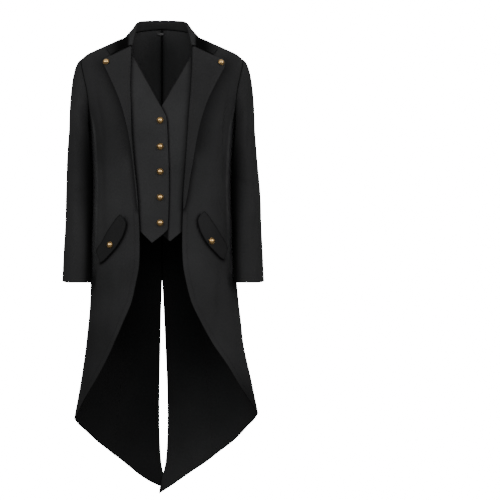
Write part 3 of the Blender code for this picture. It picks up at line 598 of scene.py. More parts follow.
def wear(tree, shader, **links):
    for label, wire in links.items():
        tree.links.new(wire.socket, shader.inputs[label.replace("_", " ")])


def noise(tree, place, scale, detail=2.0):
    return shade(tree, "ShaderNodeTexNoise", {}, {"Vector": place, "Scale": scale, "Detail": detail})


def painted(tree, name):
    """What the mesh's points hold under this name."""
    return shade(tree, "ShaderNodeAttribute", {"attribute_name": name}, {}, "Fac")


def eased(tree, wire, start, end, first, last):
    """A smooth change from first, at start, to last, at end."""
    return shade(tree, "ShaderNodeMapRange", {"interpolation_type": "SMOOTHSTEP"},
                 {0: wire, 1: start, 2: end, 3: first, 4: last})


def blend(tree, share, first, second):
    """A colour between two, each of three numbers or a colour wire."""
    ends = [end if isinstance(end, Wire) else (*end, 1) for end in (first, second)]
    return shade(tree, "ShaderNodeMix", {"data_type": "RGBA", "clamp_factor": True},
                 {0: share, 6: ends[0], 7: ends[1]}, 2)


def bumped(tree, height, strength, distance):
    return shade(tree, "ShaderNodeBump", {},
                 {"Strength": strength, "Distance": distance, "Height": height})


WALE_PITCH = 0.0009
WALE_ALONG = 0.454
WALE_ACROSS = 0.891
WEFT_PITCH = 0.00048
PUCKER_PITCH = 0.011
UNLIT = (0.0004, 0.0004, 0.0004)


def twill(name, dark, light, roughness, hem_width):
    """Black twill: slanted wales, slightly uneven dye, dark stitched seams and a turned hem,
    under painted shade and light.
    """
    made, tree, shader = new_finish(name, Specular_IOR_Level=0.03)
    flat = shade(tree, "ShaderNodeUVMap", {"uv_map": "cloth"}, {})
    place = shade(tree, "ShaderNodeTexCoord", {}, {}, "Object")
    split = shade(tree, "ShaderNodeSeparateXYZ", {}, {0: flat})
    across, along = split, Wire(tree, split.socket.node.outputs["Y"])
    wale = ((along * WALE_ALONG - across * WALE_ACROSS) * (2 * math.pi / WALE_PITCH)).maths("SINE")
    weft = (along * (2 * math.pi / WEFT_PITCH)).maths("SINE")
    cloudy, lint = noise(tree, place, 7.0, 4.0), noise(tree, place, 420.0)
    seam, hem, shaded = (painted(tree, label) for label in ("seam_mm", "hem_mm", "shaded"))

    def near(wire, start, end):
        """1 below start mm, falling to 0 at end mm."""
        return eased(tree, wire, start, end, 1.0, 0.0)

    stitched = near(seam, 0.3, 1.9)
    # A painted shadow within 7 mm of each seam, and the hem's rim painted darker as shade
    shadow = near(seam, 0.0, 7.0)
    edge = near(hem, 0.2, 1.8)
    fold_in = near(hem, hem_width - 0.5, hem_width + 0.5)
    tone = 0.5 + (cloudy - 0.5) * 0.9 + (lint - 0.5) * 0.5 + wale * 0.08
    # Painted shade and light: shaded darkens the cloth towards black, and below 0 paints it lighter
    lit = (1 - shaded) * (1 - shadow * 0.15) * (1 - stitched * 0.8) * (1 - edge * 0.5)
    # The colours are raised so that painted light has room above them
    dyed = blend(tree, tone, MOST_PAINTED_LIGHT * np.array(dark), MOST_PAINTED_LIGHT * np.array(light))
    pucker = (along * (2 * math.pi / PUCKER_PITCH) + cloudy * 9.0).maths("SINE") * near(seam, 0.5, 12.0)
    rise = wale * 0.05 + weft * 0.02 + (lint - 0.5) * 0.05
    rise = rise + pucker * 0.06 + fold_in * 0.35 - stitched * 0.3 + (cloudy - 0.5) * 0.6
    wear(tree, shader,
         Base_Color=blend(tree, lit / MOST_PAINTED_LIGHT, UNLIT, dyed),
         Roughness=roughness + (cloudy - 0.5) * 0.12 - wale * 0.03,
         Normal=bumped(tree, rise, 0.75, 0.001))
    return made


coat_twill = twill("coat_twill", (0.0135, 0.0135, 0.0138), (0.034, 0.034, 0.0348), 0.8, 14.0)


def mirrored(turn, sign):
    """A turn on the left side, or the same place's turn on the right."""
    return turn if sign > 0 else 360 - turn


def back(sign):
    """Half the back with its tail, from the side-back seam and armhole to the centre.

    Its rows make 14 levels below the armhole and 8 beside it. Two thirds of its columns end at
    the shoulder seam and the rest at the back of the neck.
    """
    skirt = stations(170, 1000, end=False)
    arm = stations(56, 340, start=False)
    shoulder, neck = stations(28, 210, end=False), stations(14, 105, start=False)
    columns = np.concatenate([shoulder * 2, 2 + neck[1:]]) / 3
    left = joined(side_back_seam(skirt), armhole_line(
        SIDE_BACK_MEETS_ARMHOLE + (360 - SIDE_BACK_MEETS_ARMHOLE) * arm))
    z = np.concatenate([
        VENT[-1].z + (BLADE_Z - VENT[-1].z) * skirt,
        BLADE_Z + (VENT[0].z - BLADE_Z) * arm[1:] ** 0.8,
    ])
    x = np.where(z > VENT[1].z, 0, curve(VENT, "z", "x")(z))
    right = seam_line(turn_at(x, z, False), z)
    top = joined(shoulder_seam(False, shoulder), along_edge(BACK_NECK, neck, False))
    hem_x = across_at(left[0][0], left[1][0]) * (1 - columns) + HEM[-1].x * columns
    hem_z = curve(HEM, "x", "z")(hem_x)
    hem = seam_line(turn_at(hem_x, hem_z, False), hem_z)
    for part, first, last in zip(hem, left, right):
        part[0], part[-1] = first[0], last[0]
    level = np.concatenate([skirt * 14, 14 + arm[1:] * 8])
    turn, fall = filled(left, right, hem, top, columns,
                        smoothstep(level, 13, 22), 1 - smoothstep(level, 0, 10))
    return surface(mirrored(turn, sign), fall)


def hung(piece, node, flat, area, rests_on, slot="coat_cloth"):
    """Hides the CAD node whose place a cloth piece takes."""
    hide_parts(node)


grids = {}
for side, sign in SIDES:
    grids[f"back_{side}"] = points = back(sign)
    piece = cloth_wall(f"back_{side}_cloth", points, CLOTH, points * (1, 1, 0),
                       ["first", "top"], ["bottom"], coat_twill, VENT[1].z,
                       inner_shaded=tail_shade(points), inner_seam="last")
    hung(piece, f"back_{side}", (0.275, 1.29), 0.159, [])


# ------------------------------------------------------------------ side bodies
# Two narrow pieces of the same twill between the side seam and the side-back seam, pressed flat
# at both seams and hemmed at the bottom with the tails.

HEM_ROUNDS = 4


def side_seam(share):
    """The seam straight up the side from the hem to the underarm."""
    return seam_line(np.full(share.shape, 90.0), SIDE_TIP_Z + (UNDERARM_Z - SIDE_TIP_Z) * share)


def side_back(sign):
    """One side body, its rows in 14 levels, and its hem's columns even by turn."""
    skirt, columns = stations(150, 900), stations(28, 170)
    left, right = side_seam(skirt), side_back_seam(skirt)
    top = armhole_line(180 + (SIDE_BACK_MEETS_ARMHOLE - 180) * columns)
    hem_turn = left[0][0] * (1 - columns) + right[0][0] * columns
    hem_z = np.full(columns.shape, float(SIDE_TIP_Z))
    for _ in range(HEM_ROUNDS):
        hem_z = curve(HEM, "x", "z")(half_width(hem_z) * oval(np.sin(np.radians(hem_turn))))
    hem = seam_line(hem_turn, hem_z)
    for part, first, last in zip(hem, left, right):
        part[0], part[-1] = first[0], last[0]
    level = skirt * 14
    turn, fall = filled(left, right, hem, top, columns,
                        smoothstep(level, 10, 14), 1 - smoothstep(level, 0, 9))
    return surface(mirrored(turn, sign), fall)


for side, sign in SIDES:
    grids[f"side_back_{side}"] = points = side_back(sign)
    piece = cloth_wall(f"side_back_{side}_cloth", points, CLOTH, points * (1, 1, 0),
                       ["first", "last", "top"], ["bottom"], coat_twill,
                       inner_shaded=tail_shade(points))
    hung(piece, f"side_back_{side}", (0.225, 1.015), 0.142, [f"back_{side}_cloth"])


# ------------------------------------------------------------------ fronts
# Two fronts of the same twill from the side seam to the crease where the lapel turns back, then
# cut away in one long curve from the waist to the side of the skirt.

FRONT_EDGE = table(
    "x z",
    (251.5, -1048), (234, -1020), (203, -972), (172, -917), (138, -858), (104, -792), (80, -740),
    (65, -681), (58, -645), (55, -600), (55, -547), (57, -481), (60, -425), (66, -355),
    (71.5, -285), (75, -225), (81, -150), (84.5, -80), (85, -37),
)
CHEST_ROW = 14
RIGHT_EDGE_OUT = 5.5
RIGHT_SKIRT_OUT = 3.6
FRONT_NECK = table("x z", (75, 2), (78, -9), (82, -24), (85, -37))
LEFT_LAPEL = table(
    "crease_z edge_x edge_z",
    (-38.5, 167, -74), (-47, 172, -83), (-62, 168.5, -98), (-82, 158.5, -119), (-108, 146, -146),
    (-143, 131.5, -178), (-185, 114.5, -218), (-230, 101.5, -262), (-280, 91, -310),
    (-330, 83.5, -356), (-378, 76, -398), (-425, 70, -440), (-462, 63.5, -472), (-481, 59, -485),
)
RIGHT_LAPEL = table(
    "crease_z edge_x edge_z",
    (-38.5, 156, -72), (-47, 160.5, -80), (-62, 156.5, -94), (-82, 147, -115), (-108, 134.5, -144),
    (-143, 120, -178), (-185, 107, -217), (-230, 95.5, -262), (-280, 86.5, -309), (-330, 80, -352),
    (-378, 75, -396), (-425, 71, -440), (-462, 67.5, -472), (-481, 64.5, -485),
)
FLAP = table(
    "sewn_x sewn_z free_x free_z",
    (115, -496, 103, -508), (118, -499.5, 96.5, -521.5), (126, -508, 99, -539),
    (139, -527, 108, -562), (151, -544, 124, -588), (163, -563, 142, -608),
    (174, -584, 158, -623.5), (179, -597, 169, -631),
)
LEFT_FLAP_UP = 9
SHOULDER_LAP = 0.9

# Shade on the fronts: how far it reaches and how deep it is beside what lies on them
LEAF_EDGE = [(95, -44), (141, -63), (163, -72)]
LEAF_EDGE_SHADE = (8, 0.5)
LAPEL_EDGE_SHADE = (9, 0.5)
LAPEL_WIDE_REACH = 34
LAPEL_WIDE_ROWS = 8
FLAP_EDGE_SHADE = (5, 0.75)
# How deep it is in wide bands, left and right: beside the lapel, on the hip, down the skirt, low
BANDS = table("lapel hip skirt low", (0.48, 0.05, 0.12, 0.5), (0.36, 0.33, 0.3, 0.1))
HIP_Z = (-600, -720)
SKIRT_Z = (-720, -900)
LOW_SKIRT_Z = (-900, -1010)
# Painted light under the sleeve: the heights where it fades in and out, and its mm in from the side
BESIDE_SLEEVE_FROM_Z = (-190, -300)
BESIDE_SLEEVE_TO_Z = (-690, -640)
BESIDE_SLEEVE_MM = (17, 5)


def front_edge(left):
    """The front edge of one side; the wearer's right lies a little further from the middle."""
    if left:
        return FRONT_EDGE
    levels = (-1048, -1000, -860, -700, -600, -110, -45, -37)
    out = through(levels, (0, *[RIGHT_SKIRT_OUT] * 2, *[RIGHT_EDGE_OUT] * 3, 0, 0))
    return table("x z", *[(row.x + float(out(row.z)), row.z) for row in FRONT_EDGE])


def front_shade(points):
    """Painted shade beside the lapel's, the leaf's and the flap's free edges, and down the skirt
    towards its side; painted light on the side beside the sleeve.
    """
    left = points[..., 0].mean() > 0
    points = np.abs(points) * (1, 1, -1)
    x, z = points[..., 0], points[..., 2]
    lapel_edge = [(row.edge_x, row.edge_z) for row in (LEFT_LAPEL if left else RIGHT_LAPEL)[1:]]
    flap_edge = [(row.free_x, row.free_z + (LEFT_FLAP_UP if left else 0)) for row in FLAP]
    band = BANDS[0 if left else 1]
    edges = np.maximum.reduce([
        beside(points, lapel_edge, *LAPEL_EDGE_SHADE),
        beside(points, lapel_edge[:LAPEL_WIDE_ROWS], LAPEL_WIDE_REACH, band.lapel),
        beside(points, LEAF_EDGE, *LEAF_EDGE_SHADE),
        beside(points, flap_edge, *FLAP_EDGE_SHADE),
    ])
    cut = curve(front_edge(left), "z", "x")(z)
    outer = ((x - cut) / (half_width(z) - cut).clip(1)).clip(0, 1)
    skirt = band.hip * outer * smoothstep(z, *HIP_Z)
    skirt = skirt + band.skirt * (1 - 0.5 * outer) * smoothstep(z, *SKIRT_Z)
    skirt = skirt + band.low * smoothstep(z, *LOW_SKIRT_Z)
    # Painted light on the front's side beside the sleeve, lifting the cloth above its own colours
    level = smoothstep(z, *BESIDE_SLEEVE_FROM_Z) * smoothstep(z, *BESIDE_SLEEVE_TO_Z)
    painted_light_beside_sleeve = smoothstep(half_width(z) - x, *BESIDE_SLEEVE_MM) * level
    return 1 - (1 - edges) * (1 - skirt) - (MOST_PAINTED_LIGHT - 1) * painted_light_beside_sleeve


def front(sign):
    """One front: 14 levels up its side seam and cutaway edge, and 10 beside armhole and neck."""
    skirt, columns = stations(160, 900, end=False), stations(40, 170)
    chest, neck = np.linspace(0, 1, 37), stations(24, 45, start=False)
    arm = np.concatenate([chest * 0.6, 0.6 + neck[1:] * 0.4])
    left = joined(side_seam(skirt), armhole_line(180 - 180 * arm))
    right = joined(
        along_edge(front_edge(sign > 0)[:CHEST_ROW + 1], skirt, True),
        along_edge(front_edge(sign > 0)[CHEST_ROW:], chest, True),
        along_edge(FRONT_NECK[::-1], neck, True),
    )
    top = shoulder_seam(True, columns)
    bottom = tuple(a[0] + (b[0] - a[0]) * columns for a, b in zip(left, right))
    level = np.concatenate([skirt * 14, 14 + arm[1:] * 10])
    turn, fall = filled(left, right, bottom, top, columns,
                        smoothstep(level, 12, 24), np.zeros(level.shape))
    points = surface(mirrored(turn, sign), fall)
    points[-1] += unit(points[-1] - points[-2]) * SHOULDER_LAP
    return points


for side, sign in SIDES:
    grids[f"front_{side}"] = points = front(sign)
    piece = cloth_wall(f"front_{side}_cloth", points, CLOTH, points * (1, 1, 0),
                       ["first", "top"], ["bottom", "last"], coat_twill,
                       shaded=front_shade(points), inner_shaded=lining_shade(points))
    hung(piece, f"front_{side}", (0.205, 1.17), 0.17, [f"side_back_{side}_cloth", f"back_{side}_cloth"])


# ------------------------------------------------------------------ sleeves
# Two-piece sleeves of the same twill, a top and an under sleeve, eased into the armhole with a
# full head, creased by the bend of the elbow and turned up at the wrist.

ARM = table(
    "z x y half_x half_y",
    (-262, 228.6, 4, 27.3, 73), (-319, 227.9, 3, 32.1, 73), (-380, 227.7, 1, 34.8, 71),
    (-424, 228.1, -1, 35.8, 69), (-490, 229.6, -5, 35.8, 65.5), (-547, 231.4, -10, 35.5, 62),
    (-615, 234.0, -16, 35.9, 58), (-679, 237.0, -22, 35.8, 54),
)
FORE_SEAM = 126
HIND_SEAM = 271.5
HEAD_WAY = 100
ARMHOLE_PULL = 0.47
ARM_PULL = 0.75
SLEEVE_LENGTH = HEAD_WAY + ARM[0].z - ARM[-1].z
WRINKLES = table(
    "angle z wide tall lean depth",
    (262, -318, 45, 17, 0.30, -4), (250, -372, 50, 18, 0.25, -4), (200, -420, 60, 22, 0.00, -2.5),
    (285, -480, 45, 30, -0.30, -2), (100, -470, 40, 26, -0.25, -2.5),
)
# Creases of one sleeve, from one angle and way down the sleeve to another
SLEEVE_CREASE = "angle way to_angle to_way width depth"
SLEEVE_CREASES = {
    1: table(
        SLEEVE_CREASE,
        (300, 22, 292, 120, 9, -3.4), (325, 30, 312, 150, 8, 2.4), (272, 90, 258, 210, 8, -3),
        (300, 130, 262, 232, 7, 2.6), (312, 236, 252, 204, 8, -3.6), (300, 262, 240, 240, 9, 2.4),
        (318, 262, 282, 330, 8, -2.6), (20, 190, 8, 400, 16, -1.8), (60, 60, 78, 170, 9, -2.8),
        (82, 40, 96, 190, 7, 2.2), (62, 330, 74, 490, 11, -2.2), (130, 220, 84, 262, 9, -2),
    ),
    -1: table(
        SLEEVE_CREASE,
        (296, 18, 286, 96, 8, -3.6), (318, 28, 300, 170, 8, 2.6), (280, 110, 312, 205, 8, -3.8),
        (292, 170, 322, 262, 8, 3.2), (258, 200, 322, 250, 7, -3), (322, 268, 252, 262, 8, -4.4),
        (312, 296, 250, 300, 10, 2.6), (352, 200, 2, 420, 16, -1.8), (68, 70, 84, 200, 10, -2.4),
        (50, 300, 66, 480, 12, -2.4), (126, 250, 80, 285, 9, -2),
    ),
}
ARM_GIRTH_PER_DEGREE = 0.95
HEAD_OUT = 0.93
HEAD_FORWARDS = 0.12
HEAD_DOWN = 0.37
HEAD_FLAT_INSIDE = 0.9
ARM_DOWN = (0.02, 0.0, -1.0)
SLEEVE_OUT_Z = (-300, -480)
INNER_SIDE_Z = (-240, -262)
LOWER_ARM = 90
LEFT_SLEEVE_OUT = 8
RIGHT_SLEEVE_OUT = 1.5
SLEEVE_CLEAR = 4.5
INNER_FORE = (95, 128)
INNER_HIND = (265, 232)
REAR_ANGLES = (160, 200)
SLEEVE_FRONT_GAP = 5.5
SLEEVE_GAP_Z = (-700, -540)
SLEEVE_HEM_LAP = 2.5
SLEEVE_REAR_LAP = 3
SLEEVE_LONGER = 5
CUFF_CORNERS_UP = 4
TUCK = 5
TUCK_IN = 3
TUCK_DOWN = 0.8
TUCK_UNDERARM = (0.3, 1)


def inner_side(angle):
    """1 where the sleeve lies against the body, 0 round its outer side."""
    angle = np.mod(angle, 360)
    return smoothstep(angle, *INNER_FORE) * smoothstep(angle, *INNER_HIND)


def beside_body(angle, y, z):
    """How far out the sleeve's inner side hangs: clear of the body, and closer behind its side."""
    ratio = (np.abs(y) / np.where(y > 0, back_depth(z), front_depth(z))).clip(0, 1)
    body = half_width(z) * (1 - ratio**SQUARENESS) ** (1 / SQUARENESS)
    rear = smoothstep(np.mod(angle, 360), *REAR_ANGLES)
    gap = SLEEVE_FRONT_GAP * smoothstep(z, *SLEEVE_GAP_Z)
    level = half_width(z) - SLEEVE_HEM_LAP + gap - (gap + SLEEVE_REAR_LAP) * rear
    return np.maximum(body + SLEEVE_CLEAR, level)


def sleeve_ring(angle, z):
    """Places round the arm at this height, held in where the body is beside it."""
    around = np.radians(angle)
    x = curve(ARM, "z", "x")(z) + curve(ARM, "z", "half_x")(z) * oval(np.cos(around))
    y = curve(ARM, "z", "y")(z) - curve(ARM, "z", "half_y")(z) * oval(np.sin(around))
    x = x + inner_side(angle) * np.minimum(beside_body(angle, y, z) - x, 0)
    return np.stack([x, y, z], axis=-1)


def sleeve_surface(angle, way, sign):
    """Points on a sleeve by the angle round it, forwards from its outer side, and the way down."""
    angle, way = np.broadcast_arrays(np.asarray(angle, float), np.asarray(way, float))
    turn, _, fall = armhole_line(np.mod(angle, 360))
    start = surface(mirrored(turn, sign), fall) * (sign, 1, 1)
    end = sleeve_ring(angle, np.full(angle.shape, float(ARM[0].z)))
    t = np.clip(way / HEAD_WAY, 0, 1)[..., None]
    reach = np.linalg.norm(end - start, axis=-1, keepdims=True)
    forwards = -HEAD_FORWARDS * np.sin(np.radians(angle))
    even = np.ones(angle.shape)
    out = unit(np.stack([HEAD_OUT * even, forwards, -HEAD_DOWN * even], axis=-1))
    head = start * (2 * t**3 - 3 * t**2 + 1) + end * (3 * t**2 - 2 * t**3)
    outward = ARMHOLE_PULL * (1 - HEAD_FLAT_INSIDE * inner_side(angle))[..., None]
    head = head + out * reach * outward * (t**3 - 2 * t**2 + t)
    head = head + np.array(ARM_DOWN) * reach * ARM_PULL * (t**3 - t**2)
    arm = sleeve_ring(angle, ARM[0].z - np.maximum(way - HEAD_WAY, 0))
    points = np.where((way < HEAD_WAY)[..., None], head, arm)
    centre = curve(ARM, "z", "x")(points[..., 2]), curve(ARM, "z", "y")(points[..., 2])
    outwards = np.stack([points[..., 0] - centre[0], points[..., 1] - centre[1]], axis=-1)
    push = np.zeros(angle.shape)
    for fold in WRINKLES:
        round_it = np.mod(angle - fold.angle + 180, 360) - 180
        level = (points[..., 2] - fold.z - fold.lean * round_it) / fold.tall
        push = push + fold.depth * np.exp(-level**2 - (round_it / fold.wide) ** 2)
    for crease in SLEEVE_CREASES[sign]:
        round_it = (np.mod(angle - crease.angle + 180, 360) - 180) * ARM_GIRTH_PER_DEGREE
        turned = np.mod(crease.to_angle - crease.angle + 180, 360) - 180
        push = push + crease_push(round_it, way - crease.way, turned * ARM_GIRTH_PER_DEGREE,
                                  crease.to_way - crease.way, crease.width, crease.depth)
    points[..., :2] += unit(outwards) * push[..., None]
    x, y, z = points[..., 0], points[..., 1], points[..., 2]
    x = x + (LEFT_SLEEVE_OUT if sign > 0 else RIGHT_SLEEVE_OUT) * smoothstep(z, *SLEEVE_OUT_Z)
    level = beside_body(angle, y, z)
    points[..., 0] = x + inner_side(angle) * smoothstep(z, *INNER_SIDE_Z) * np.minimum(level - x, 0)
    low = smoothstep(way, SLEEVE_LENGTH - LOWER_ARM, SLEEVE_LENGTH)
    points[..., 2] -= low * (SLEEVE_LONGER - CUFF_CORNERS_UP * np.cos(np.radians(angle)) ** 4)
    into = body_normal(mirrored(turn, sign), fall) * (-sign, -1, -1)
    underarm = smoothstep(-np.cos(np.radians(angle)), *TUCK_UNDERARM)
    along = np.stack([-even, 0 * even, -TUCK_DOWN * underarm], axis=-1)
    along = unit(along - into * np.sum(along * into, axis=-1, keepdims=True))
    points += (along * TUCK + into * TUCK_IN) * (-way / TUCK).clip(0)[..., None]
    return points * (sign, 1, 1)


def sleeve(first, last, sign, columns):
    """A grid of one piece of a sleeve between two angles, from the wrist up, and its way out."""
    head = np.concatenate([[-TUCK, -TUCK + RIM, 0, RIM], np.linspace(0, HEAD_WAY, 21)[1:]])
    arm = HEAD_WAY + stations(75, 417, start=False)[1:] * (SLEEVE_LENGTH - HEAD_WAY)
    way = np.concatenate([head, arm])[::-1, None]
    angle = first + (last - first) * stations(columns, columns * 5)[None, :]
    points = sleeve_surface(angle, way, sign)
    middle = np.stack([curve(ARM, "z", "x")(points[..., 2]) * sign,
                       curve(ARM, "z", "y")(points[..., 2]), points[..., 2]], axis=-1)
    return points, points - middle


SLEEVE_SHADE = table(
    "z reach strength",
    (-200, 12, 0.1), (-235, 14, 0.5), (-291, 20, 0.75), (-374, 27, 0.96), (-460, 24, 0.96),
    (-540, 16, 0.96), (-700, 14, 0.92),
)
# Painted shade: over all the sleeve, fading from this many mm beyond the body, and inside the sleeve
SLEEVE_PAINTED_SHADE = 0.11
SLEEVE_SHADE_FROM = 5
SLEEVE_INSIDE = 0.8


def sleeve_shade(points):
    """How deep the sleeve lies in the shade between it and the body."""
    z = points[..., 2]
    away = (np.abs(points[..., 0]) - half_width(z) - SLEEVE_SHADE_FROM).clip(0)
    reach, strength = curve(SLEEVE_SHADE, "z", "reach")(z), curve(SLEEVE_SHADE, "z", "strength")(z)
    return SLEEVE_PAINTED_SHADE + (1 - SLEEVE_PAINTED_SHADE) * strength.clip(0) * np.exp(-((away / reach) ** 2))


for side, sign in SIDES:
    for name, first, last, columns, flat, area, sewn_to in (
        ("top_sleeve", HIND_SEAM - 360, FORE_SEAM, 50, (0.26, 0.615), 0.115, "front"),
        ("under_sleeve", FORE_SEAM, HIND_SEAM, 34, (0.172, 0.535), 0.0755, "top_sleeve"),
    ):
        points, outwards = sleeve(first, last, sign, columns)
        grids[f"{name}_{side}"] = points
        piece = cloth_wall(f"{name}_{side}_cloth", points, CLOTH, outwards,
                           ["first", "last", "top"], ["bottom"], coat_twill,
                           shaded=sleeve_shade(points), inner_shaded=SLEEVE_INSIDE, tucked=TUCK)
        hung(piece, f"{name}_{side}", flat, area, [f"{sewn_to}_{side}_cloth"])


# ------------------------------------------------------------------ waistcoat front
# A waistcoat front of slightly lighter twill, sewn in behind the crease, its right half lapped
# over the left and buttoned, each half cut to a point below the waist.

VEST_CLOTH = 1.6
VEST_MARGIN = 18
VEST_OUT = -5.0
VEST_UNDER_OUT = -7.6
VEST_SHADE = 0.88
UNDER_COAT_REACH = 4.5
UNDER_LAP_REACH = 3.2
VEST_OVER = table(
    "x z",
    (-85.7, -50), (-74.5, -71), (-62, -93), (-49, -117), (-34, -144), (-16, -177), (7.5, -219),
    (13, -235), (16, -275), (18, -325), (19.5, -375), (20, -425), (19, -475), (17.5, -512),
    (16, -538),
)
VEST_UNDER = table(
    "x z",
    (85.7, -50), (74, -71), (61, -93), (47, -117), (31, -144), (12, -177), (-3, -202), (-12, -222),
    (-15, -260), (-16, -305), (-16, -355), (-16, -405), (-15, -455), (-14, -500), (-12, -540),
)
VEST_OVER_HEM = table(
    "share x z",
    (0, -74, -534), (0.2, -57, -546), (0.5, -28, -575), (0.8, 2, -552), (1, 16, -538),
)
VEST_UNDER_HEM = table(
    "share x z",
    (0, 74, -534), (0.24, 53, -546), (0.6, 22, -571), (0.85, 0, -552), (1, -12, -540),
)
vest_twill = twill("vest_twill", (0.0165, 0.0165, 0.017), (0.041, 0.041, 0.042), 0.78, 6.0)


def laid(x, z, front, out):
    """Points over the body's cloth, moved out from it, and the cloth's normals there."""
    x, z, out = np.broadcast_arrays(np.asarray(x, float), np.asarray(z, float), np.asarray(out, float))
    turn = turn_at(x, z, front)
    fall = fall_at(turn, z)
    normals = body_normal(turn, fall)
    return surface(turn, fall) + normals * out[..., None], normals


def even_places(count, rows, first, last):
    """Even places along a table's rows, with one more near to each end for its rounded edge."""
    end = rows - 1
    return np.concatenate([[0, first], np.linspace(0, end, count)[1:-1], [end - last, end]])


def vest_half(edge, hem, out, sign):
    """Half the waistcoat front, from under the coat's crease to its own middle edge."""
    rows = np.array(edge, float)
    level = even_places(106, len(rows), 0.06, 0.06)
    edge_x, edge_z = through(np.arange(len(rows)), rows)(level).T
    outer_z = edge_z + (hem[0].z - rows[-1, 1]) * level / (len(rows) - 1)
    outer_x = sign * (curve(front_edge(sign > 0), "z", "x")(outer_z) + VEST_MARGIN)
    share = stations(24, 95)
    x = outer_x[:, None] * (1 - share) + edge_x[:, None] * share
    z = outer_z[:, None] * (1 - share) + edge_z[:, None] * share
    lower = smoothstep(level, len(rows) - 4, len(rows) - 1)[:, None]
    points = np.array(hem, float)
    x = x + lower * (np.interp(share, points[:, 0], points[:, 1]) - x[-1])
    z = z + lower * (np.interp(share, points[:, 0], points[:, 2]) - z[-1])
    return laid(x, z, True, out)


for name, edge, hem, out, sign in (
    ("vest_right", VEST_OVER, VEST_OVER_HEM, VEST_OUT, -1),
    ("vest_left", VEST_UNDER, VEST_UNDER_HEM, VEST_UNDER_OUT, 1),
):
    points, normals = vest_half(edge, hem, out, sign)
    grids[name] = points
    x, z = points[..., 0], points[..., 2]
    under_coat = (curve(front_edge(sign > 0), "z", "x")(z) - np.abs(x)).clip(0)
    under_lap = (x - curve(VEST_OVER, "z", "x")(z)).clip(0) if sign > 0 else FAR
    shaded = VEST_SHADE * np.maximum(np.exp(-(under_coat / UNDER_COAT_REACH) ** 2),
                                     np.exp(-(under_lap / UNDER_LAP_REACH) ** 2))
    piece = cloth_wall(f"{name}_cloth", points, VEST_CLOTH, normals, ["first"],
                       ["last", "top", "bottom"], vest_twill, shaded=shaded)
    hung(piece, name, (0.12, 0.545), 0.0453, [f"front_{name[5:]}_cloth"], "waistcoat_cloth")


# ------------------------------------------------------------------ collar
# A fallen collar of the same twill in one band: the stand rises from the neck seam, rolls over
# at the crease and its leaf lies back on the shoulders.

COLLAR_CLOTH = 2.2
COLLAR_ROLL = 3.2
LEAF_OUT = 5.4
LEAF_BOW = 1.8
NECK_SEAM = 1.8
COLLAR = table(
    "crease_x crease_y crease_z foot_x foot_z edge_x edge_z front",
    (0, 57, 36, 0, 22, 0, 0, False), (25, 54, 35.5, 27, 20, 40, -3, False),
    (46, 46, 34.5, 52, 13, 73, -8.5, False), (61, 30, 32.5, 78, 1, 96, -12, False),
    (70, 6, 26, 86, -6, 107, -16, True), (71, -10, 20, 88, -10, 128, -27, True),
    (75.5, -27, 7, 90, -16, 151, -40, True), (80, -44, -13, 91, -26, 149, -49, True),
    (84.5, -60, -33.5, 94, -38.5, 141, -59.5, True),
)
NECK_MIDDLE_UP = 40
ROLL_ROUND = ((0.75, -0.7), (1, 0), (0.75, 0.7))
STAND_HOLLOW = 0.5
# The leaf's points by share of its width: bowed round the back, laid on the front from a station on
LEAF_BOWED = ((0.1, 0.5), (0.3, 1), (0.62, 1))
LAID_STATION = 4
LEAF_LAID = ((0.1, LEAF_OUT + LEAF_BOW), (0.58, LEAF_OUT))
LEAF_TURN = 0.28
LEAF_TURN_OUT = 0.4
LEAF_EDGE_OUT = 3.2
LEAF_COLUMN = 24
# Shade on the leaf outwards of the neck, deepest beside the crease and less deep to its point
LEAF_SHADE_X = (88, 95)
LEAF_POINT_X = (112, 152)
LEAF_SHADE_Z = (6, -10)
LEAF_DEEP = 0.97
LEAF_POINT_LESS = 0.55


def tangents(points):
    """The way along a row of points at each of them."""
    return unit(np.gradient(points, axis=0))


def finer(grid, times, axis):
    """The grid with smooth in-between points along one axis."""
    grid = np.moveaxis(grid, axis, 0)
    count = len(grid)
    at = even_places((count - 1) * times + 1, count, 0.15, 0.15)
    return np.moveaxis(through(np.arange(count), grid)(at), 0, axis)


